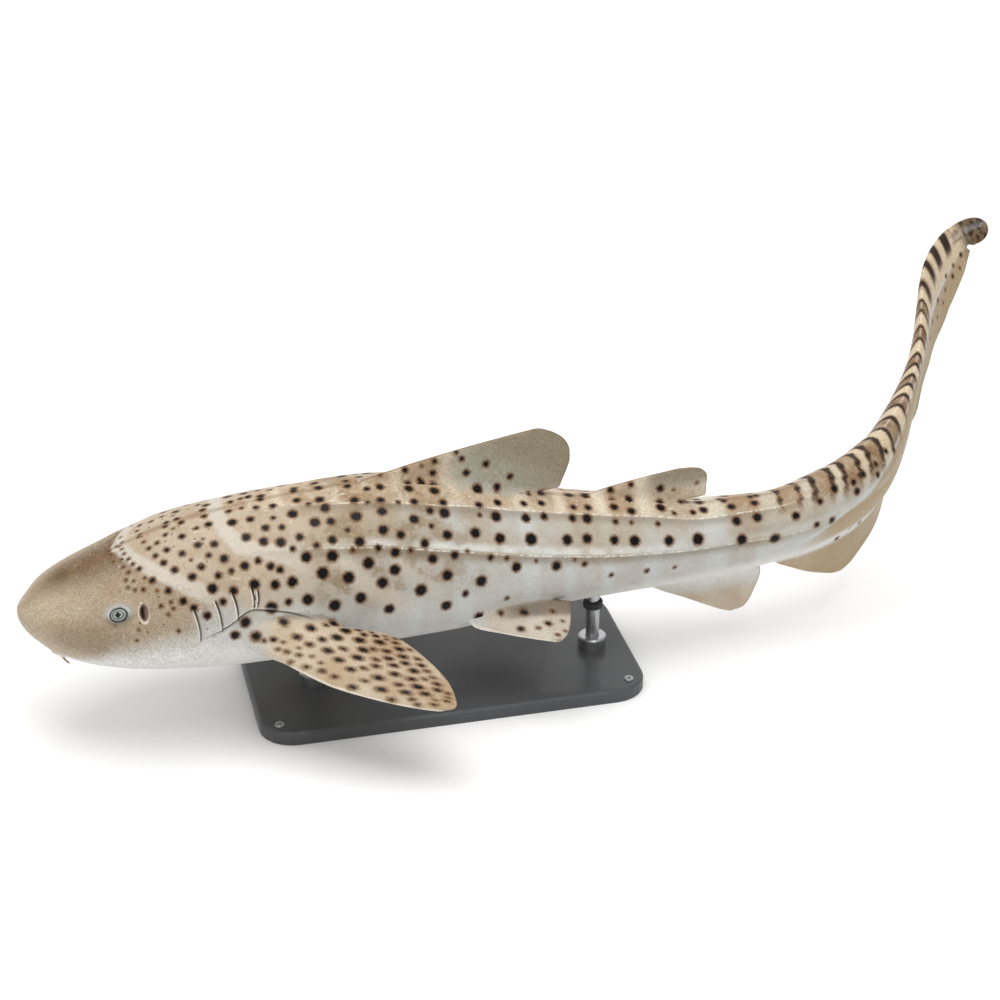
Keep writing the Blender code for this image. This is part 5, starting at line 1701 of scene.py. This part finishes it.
def spot_layers(paint):
    """Dark spots with a rusty halo, the streaks of the tail and the small dots of the nape."""
    edge, ragged = spot_edge(paint)
    streak = paint.maths("ADD", "streak_mm", paint.times(ragged, 0.8))
    paint.lay(SPOT_RUST, paint.fall(edge, -0.4, 2.6, 0.85))
    paint.lay(TAIL_BROWN, paint.fall(streak, -0.8, 2.4, 0.6))
    paint.lay(STREAK_BROWN, paint.fall(streak, -1.4, 0.9, 0.95))
    paint.lay(SPOT_BLACK, paint.fall(streak, -2.6, -0.6, 0.5))
    paint.lay(SPOT_BLACK, paint.fall(edge, -1.5, 0.35))
    dots = paint.node("ShaderNodeTexVoronoi", {"Vector": paint.coords, "Scale": 170.0, "Randomness": 1.0})
    chance = paint.node("ShaderNodeSeparateColor", {0: dots.outputs["Color"]}).outputs[0]
    paint.lay(HEAD_DOT, paint.fall(dots.outputs["Distance"], 0.10, 0.26, 0.85),
              paint.step(chance, 0.62, 0.66), paint.window("station", 0.045, 0.085, 0.12, 0.16),
              paint.rest("pale"), paint.rest("belly"))


def opening_layers(paint):
    """The eye's pale halo and the painted shade below it, pale gill-slit edges, and painted shade in every
    hollow.
    """
    # Painted shade under the eye, a pale halo over it.
    around = paint.mix(paint.step("height", 0.24, 0.34), EYE_SHADE, EYE_HALO)
    paint.lay(around, paint.fall("eye_share", 1.0, 2.1, 0.85))
    paint.lay(PALE_EDGE_AND_GLINT, paint.window("flap_mm", -1.5, -1.0, -0.5, -0.1), "flap_shows", 0.65)
    # Painted shade inside each gill slit, darkest towards its top.
    paint.lay(HOLLOW_SHADE, paint.window("flap_mm", -0.5, -0.1, 0.8, 2.0), "flap_shows",
              paint.step("height", 0.08, 0.34, 0.7, 1.0))
    paint.lay(PALE_EDGE_AND_GLINT, paint.window("crease_mm", 0.5, 1.3, 1.8, 3.0), "crease_shows",
              paint.step("station", 0.155, 0.175, 0.45, 0.12))
    # Painted shade in the crease along the gills' feet.
    line = paint.fall(paint.maths("ABSOLUTE", "crease_mm"), 0.1, 1.3, 0.75)
    paint.lay(HOLLOW_SHADE, line, "crease_shows")
    paint.lay(PALE_EDGE_AND_GLINT, "rim")
    paint.lay(LINING_PINK, "lining")
    # Painted shade in the spiracles, the mouth's cleft and the nostrils.
    paint.lay(HOLLOW_SHADE, "hollow")


print("spots, streaks and openings ready")

# %% Build the skin's material
def skin_material():
    """Sandy, spotted, finely grained wet skin."""
    paint = Paint("shark_skin", Roughness=0.42, IOR=1.42, Coat_Weight=0.04, Coat_Roughness=0.18,
                  Specular_IOR_Level=0.18)
    worms, grain = paint.noise(430.0, 1.5, 0.5, 1.6), paint.noise(1000.0, 2.0, 0.6)
    ground_layers(paint)
    fold_layers(paint)
    rim_layers(paint)
    grain_layers(paint, worms, grain)
    spot_layers(paint)
    opening_layers(paint)
    paint.emboss(paint.maths("ADD", paint.times(grain, 0.5), paint.times(worms, 0.8)), 0.4, 0.0004)
    paint.drive("Roughness", paint.step(grain, 0.3, 0.75, 0.52, 0.34))
    return paint.done()


skin.data.materials.clear()
skin.data.materials.append(skin_material())
for face in skin.data.polygons:
    face.material_index = 0
print("skin material nodes:", len(skin.data.materials[0].node_tree.nodes))

# %% Lay the skin on the spine and hand it to the frame
skin.data.vertices.foreach_set("co", bend(straight).ravel())
skin.data.update()
skin.data.shade_smooth()
flesh = [name for name in frame["nodes"] if not name.endswith("_eye") and not name.startswith("stand_")]
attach(skin, "root")
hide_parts(*flesh)
print("the skin stands for", len(flesh), "nodes")

# %% [markdown]
# ## Eyes
#
# A shark's eye is a flattened ball that sits deep in its socket. Each is its own piece: the carved lids
# overlap its rim. The rings of the iris, a painted shadow of the lids round its rim, and the small pupil
# are drawn from two numbers stored on its points, the distance from the middle in shares of the opening
# and the distance to the pupil's edge, so they stay crisp. A clear coat over the whole ball gives the wet
# cornea.

# %% Build one eye
EYE_RINGS = 44
EYE_SIDES = 96
EYE_CROWDING = 1.25
PUPIL_SIZE = (2.2, 2.5)
# Where each ring begins and is full, in shares of the opening, its colour and its strength. The iris has
# the first two; the last, dark one is a painted shadow of the lids over the eye's rim.
IRIS_AND_LID_SHADE_RINGS = (
    (0.52, 0.56, (44, 46, 44), 0.9), (0.63, 0.67, (146, 150, 146), 1.0), (0.79, 0.84, (60, 64, 65), 1.0),
)


def eye_ball(name, hand):
    """A flattened ball, denser at the front, with its ring and pupil numbers stored."""
    centre, along, up, out = local_frame(*EYE_PLACE, hand)
    centre = centre - out * EYE_SUNK / TOTAL_LENGTH
    tilt = math.pi * (np.arange(1, EYE_RINGS) / EYE_RINGS)[:, None] ** EYE_CROWDING
    turn = 2 * math.pi * np.arange(EYE_SIDES) / EYE_SIDES
    length, depth, height = EYE_RADII
    a = np.append(length * np.sin(tilt) * np.cos(turn), (0, 0))
    b = np.append(height * np.sin(tilt) * np.sin(turn), (0, 0))
    c = np.append(depth * np.cos(tilt) * np.ones(EYE_SIDES), (depth, -depth))
    points = centre + (np.outer(a, along) + np.outer(b, up) + np.outer(c, out)) / TOTAL_LENGTH
    faces = ring_faces(EYE_RINGS - 1, EYE_SIDES)
    front, last = len(points) - 2, (EYE_RINGS - 2) * EYE_SIDES
    for j in range(EYE_SIDES):
        faces.append((front, j, (j + 1) % EYE_SIDES))
        faces.append((front + 1, last + (j + 1) % EYE_SIDES, last + j))
    item = mesh_object(name, bend(points), faces)
    turn_outwards(item)
    far_side = np.where(c > 0, 0.0, 2.0)
    store(item, "ring_share", np.hypot(a * 1000 / EYE_OPENING[0], b * 1000 / EYE_OPENING[1]) + far_side)
    store(item, "pupil", abs(a * 1000) / PUPIL_SIZE[0] + abs(b * 1000) / PUPIL_SIZE[1] - 1 + far_side)
    item.data.shade_smooth()
    return item


def eye_material():
    """Silver iris and dark rings, the outer one a painted lid shadow; a small dark pupil under a clear wet
    coat.
    """
    paint = Paint("shark_eye", Roughness=0.22, IOR=1.40, Coat_Weight=0.15, Coat_Roughness=0.05,
                  Specular_IOR_Level=0.25)
    paint.colour = paint.mix(paint.clouds(900.0, 2.0, 0.3, 0.7), tone(132, 137, 133), tone(172, 175, 168))
    # The iris's rings, then a painted shadow of the lids round the rim.
    for low, high, colour, strength in IRIS_AND_LID_SHADE_RINGS:
        paint.lay(tone(*colour), paint.step("ring_share", low, high, 0.0, strength))
    paint.lay(tone(60, 66, 66), paint.fall("pupil", 0.1, 0.55, 0.8))
    paint.lay(tone(8, 8, 9), paint.fall("pupil", -0.12, 0.08))
    return paint.done()


eye_look = eye_material()
for side, hand in (("left", -1), ("right", 1)):
    eye = eye_ball(side + "_eye_ball", hand)
    eye.data.materials.append(eye_look)
    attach(eye, "root")
    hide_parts(side + "_eye")
    print(eye.name, "points:", len(eye.data.vertices))

# %% [markdown]
# ## The display stand
#
# The stand is plain on purpose: a dark painted plate and two satin steel rods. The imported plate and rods
# already have the right shape, so they keep it and only get finishes. What makes them look made are the
# fittings: a turned collar where each rod enters the plate, a soft ring under the belly, and screws.
# The screws repeat, so Geometry Nodes set them out.

# %% Finishes of the stand
def painted_metal():
    """Dark satin paint with a fine orange-peel surface."""
    paint = Paint("stand_paint", Roughness=0.45, Metallic=0.0, Coat_Weight=0.15)
    clouds = paint.noise(22.0, 4.0)
    paint.colour = paint.mix(clouds, tone(58, 59, 61), tone(72, 73, 75))
    paint.emboss(paint.noise(900.0), 0.15, 0.0002)
    paint.drive("Roughness", paint.step(clouds, 0.3, 0.7, 0.40, 0.55))
    return paint.done()


def brushed_steel(name, stretch):
    """Steel with fine marks stretched along one direction."""
    paint = Paint(name, Metallic=1.0, Roughness=0.3)
    drawn = paint.node("ShaderNodeMapping", {"Vector": paint.coords, "Scale": stretch}).outputs[0]
    marks = paint.noise(1400.0, coords=drawn)
    paint.colour = paint.mix(marks, tone(168, 168, 170), tone(196, 196, 198))
    paint.drive("Roughness", paint.step(marks, 0.3, 0.7, 0.24, 0.40))
    return paint.done()


def clouded(name, scale, detail, dark, light, **surface):
    """A plain finish, softly clouded between two greys."""
    paint = Paint(name, **surface)
    paint.colour = paint.mix(paint.noise(scale, detail), tone(*dark), tone(*light))
    return paint.done()


def paint_node(name, material):
    """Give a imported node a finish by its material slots."""
    item = frame["nodes"][name]
    item.data.materials.clear()
    item.data.materials.append(material)


plate_paint, rod_steel = painted_metal(), brushed_steel("stand_steel", (1.0, 1.0, 0.03))
turned_steel = brushed_steel("stand_turned_steel", (1.0, 1.0, 6.0))
rubber = clouded("stand_rubber", 300.0, 3.0, (38, 38, 39), (52, 52, 53), Roughness=0.75)
paint_node("stand_base", plate_paint)
for rod_name in ("stand_rod_front", "stand_rod_rear"):
    paint_node(rod_name, rod_steel)
print("stand finishes: 4")

# %% Turned collars and soft rings
def turned(name, profile, x, y, sides=64):
    """A ring turned round an upright axis from a closed profile of radius and height."""
    count, points = len(profile), []
    for j in range(sides):
        turn = 2 * math.pi * j / sides
        points += [(x + r * math.cos(turn), y + r * math.sin(turn), z) for r, z in profile]
    faces = [[v % len(points) for v in face] for face in ring_faces(sides + 1, count)]
    item = mesh_object(name, points, faces)
    turn_outwards(item)
    item.data.shade_smooth()
    item.data.set_sharp_from_angle(angle=math.radians(35))
    return item


COLLAR_RADIUS, COLLAR_HEIGHT, COLLAR_EDGE = 0.0125, 0.011, 0.0012
PAD_RADIUS, PAD_HEIGHT, PAD_DROP, PAD_EDGE = 0.0088, 0.007, 0.012, 0.001
plate_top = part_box("stand_base")[1].z
rod_places = {}
for place in ("front", "rear"):
    low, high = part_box("stand_rod_" + place)
    x, y, radius = (low.x + high.x) / 2, (low.y + high.y) / 2, (high.x - low.x) / 2
    rod_places[place] = (x, y, radius)
    foot, inner = plate_top, radius + 0.0001
    profile = ((inner, foot), (COLLAR_RADIUS, foot), (COLLAR_RADIUS, foot + COLLAR_HEIGHT - COLLAR_EDGE),
               (COLLAR_RADIUS - COLLAR_EDGE, foot + COLLAR_HEIGHT), (inner, foot + COLLAR_HEIGHT))
    collar = turned("stand_collar_" + place, profile, x, y)
    collar.data.materials.append(turned_steel)
    top = high.z - PAD_DROP
    low, soft = top - PAD_HEIGHT, PAD_RADIUS - PAD_EDGE
    profile = ((inner, low), (soft, low), (PAD_RADIUS, low + PAD_EDGE), (PAD_RADIUS, top - PAD_EDGE),
               (soft, top), (inner, top))
    pad = turned("stand_ring_" + place, profile, x, y)
    pad.data.materials.append(rubber)
    for piece, slot in ((collar, "stand_rod"), (pad, "stand_plate")):
        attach(piece, "root")
print("rods at", {place: [round(v, 3) for v in values] for place, values in rod_places.items()})

# %% [markdown]
# ### Screws by Geometry Nodes
#
# A screw head is modelled once as a small mesh. A node tree puts one at each corner of a grid of points
# over the plate, so the spacing stays a named input. `Realize Instances` and `Set Material` end the tree,
# and the evaluated mesh is kept in place of the modifier.

# %% One screw head
SCREW_RADIUS, SCREW_HEIGHT, SOCKET_RADIUS, SOCKET_DEPTH = 0.0042, 0.0016, 0.0018, 0.0012


def screw_head():
    """A low domed head with a six-sided socket, standing on z = 0."""
    sides = 36
    turn = 2 * math.pi * np.arange(sides) / sides
    six = SOCKET_RADIUS * math.cos(math.pi / 6) / np.cos(turn % (math.pi / 3) - math.pi / 6)
    rows = ((SCREW_RADIUS, 0), (SCREW_RADIUS, SCREW_HEIGHT * 0.55), (SCREW_RADIUS * 0.9, SCREW_HEIGHT * 0.9),
            (SCREW_RADIUS * 0.62, SCREW_HEIGHT), (six, SCREW_HEIGHT), (six, SCREW_HEIGHT - SOCKET_DEPTH))
    rings = [np.stack([r * np.cos(turn), r * np.sin(turn), z + 0 * turn], -1) for r, z in rows]
    points = np.concatenate(rings)
    faces = ring_faces(6, sides) + [tuple(range(5 * sides, 6 * sides)), tuple(reversed(range(sides)))]
    item = mesh_object("screw_head", points, faces)
    turn_outwards(item)
    return item


screw = screw_head()
print("screw head faces:", len(screw.data.polygons))

# %% The tree that sets the screws out
def screw_tree(item, material):
    """A grid of two by two points with a screw head on each."""
    tree = bpy.data.node_groups.new("plate_screws", "GeometryNodeTree")
    for label, kind in (("Geometry", "NodeSocketGeometry"), ("Spacing X", "NodeSocketFloat"),
                        ("Spacing Y", "NodeSocketFloat"), ("Height", "NodeSocketFloat")):
        tree.interface.new_socket(label, in_out="INPUT", socket_type=kind)
    tree.interface.new_socket("Geometry", in_out="OUTPUT", socket_type="NodeSocketGeometry")
    given = tree.nodes.new("NodeGroupInput").outputs
    grid = node(tree, "GeometryNodeMeshGrid", {"Size X": given["Spacing X"], "Size Y": given["Spacing Y"],
                                               "Vertices X": 2, "Vertices Y": 2})
    lift = node(tree, "ShaderNodeCombineXYZ", {"Z": given["Height"]})
    raised = node(tree, "GeometryNodeSetPosition", {"Geometry": grid.outputs[0], "Offset": lift.outputs[0]})
    head = node(tree, "GeometryNodeObjectInfo", {"Object": item})
    set_out = node(tree, "GeometryNodeInstanceOnPoints", {"Points": raised.outputs[0],
                                                         "Instance": head.outputs["Geometry"]})
    real = node(tree, "GeometryNodeRealizeInstances", {"Geometry": set_out.outputs[0]})
    dressed = node(tree, "GeometryNodeSetMaterial", {"Geometry": real.outputs[0], "Material": material})
    result = tree.nodes.new("NodeGroupOutput")
    tree.links.new(dressed.outputs[0], result.inputs[0])
    return tree


SCREW_MARGIN = 0.016
plate_low, plate_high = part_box("stand_base")
screws = mesh_object("stand_screws", [(0, 0, 0)], [])
modifier = screws.modifiers.new("set_out", "NODES")
modifier.node_group = screw_tree(screw, turned_steel)
sizes = {"Spacing X": plate_high.x - plate_low.x - 2 * SCREW_MARGIN,
         "Spacing Y": plate_high.y - plate_low.y - 2 * SCREW_MARGIN, "Height": plate_top}
for socket in modifier.node_group.interface.items_tree:
    if socket.in_out == "INPUT" and socket.name in sizes:
        modifier[socket.identifier] = sizes[socket.name]
applied(screws)
middle = (plate_low + plate_high) / 2
screws.data.transform(Matrix.Translation((middle.x, middle.y, 0.0)))
bpy.data.objects.remove(screw, do_unlink=True)
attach(screws, "root")
print("screws:", len(screws.data.vertices), "points")

# %% [markdown]
# ## Floor and light
#
# A pale seamless floor, one broad light high over the fish's near side, a weaker one from the front and
# a rim light from behind give soft shading and long wet highlights; a fourth lights the far floor. An
# even, bright world keeps the shadows light, as in a studio tent.

# %% Floor, lights and world
FLOOR_REACH = 30.0
FISH_MIDDLE = (0.0, 0.0, 0.12)
LIGHTS = (
    ("top_light", (-0.3, -0.3, 2.2), FISH_MIDDLE, (2.4, 1.4), 36.0),
    ("front_light", (-1.4, -2.1, 1.5), FISH_MIDDLE, (1.2, 1.2), 5.0),
    ("back_light", (1.2, 1.7, 1.5), FISH_MIDDLE, (1.6, 1.0), 4.5),
    ("backdrop_light", (1.0, 4.2, 3.0), (1.2, 5.6, 0.0), (5.0, 2.5), 220.0),
)
WORLD_STRENGTH = 0.66


corners = [(FLOOR_REACH * x, FLOOR_REACH * y, 0) for x, y in ((-1, -1), (1, -1), (1, 1), (-1, 1))]
floor = mesh_object("studio_floor", corners, [(0, 1, 2, 3)])
paper = clouded("studio_floor", 3.0, 2.0, (244, 244, 244), (247, 247, 247), Roughness=0.9)
floor.data.materials.append(paper)
floor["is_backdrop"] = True
for name, place, aim, size, power in LIGHTS:
    light = bpy.data.objects.new(name, bpy.data.lights.new(name, "AREA"))
    light.data.shape = "RECTANGLE"
    light.data.size, light.data.size_y = size
    light.data.energy = power
    light.visible_glossy = name != "backdrop_light"
    light.location = place
    light.rotation_mode = "QUATERNION"
    light.rotation_quaternion = (Vector(aim) - Vector(place)).to_track_quat("-Z", "Y")
    bpy.context.scene.collection.objects.link(light)
world = bpy.data.worlds.new("studio")
world.use_nodes = True
world.node_tree.nodes["Background"].inputs["Color"].default_value = (1.0, 1.0, 1.0, 1.0)
world.node_tree.nodes["Background"].inputs["Strength"].default_value = WORLD_STRENGTH
bpy.context.scene.world = world
bpy.context.scene.view_settings.view_transform = "Standard"
print("lights:", len(LIGHTS))

# %% [markdown]
# ## Measure and finish
#
# The dressed model is held against the imported model's box: both boxes are measured, and the print
# shows how far each side has grown, in millimetres. The dressed model has to stay in the imported
# model's box.

# %% Measure both boxes and finish
look_low, look_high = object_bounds()
grown = np.subtract((*look_low, *look_high), (*cad_low, *cad_high)) * 1000
print("grown by mm:", np.round(grown, 1))
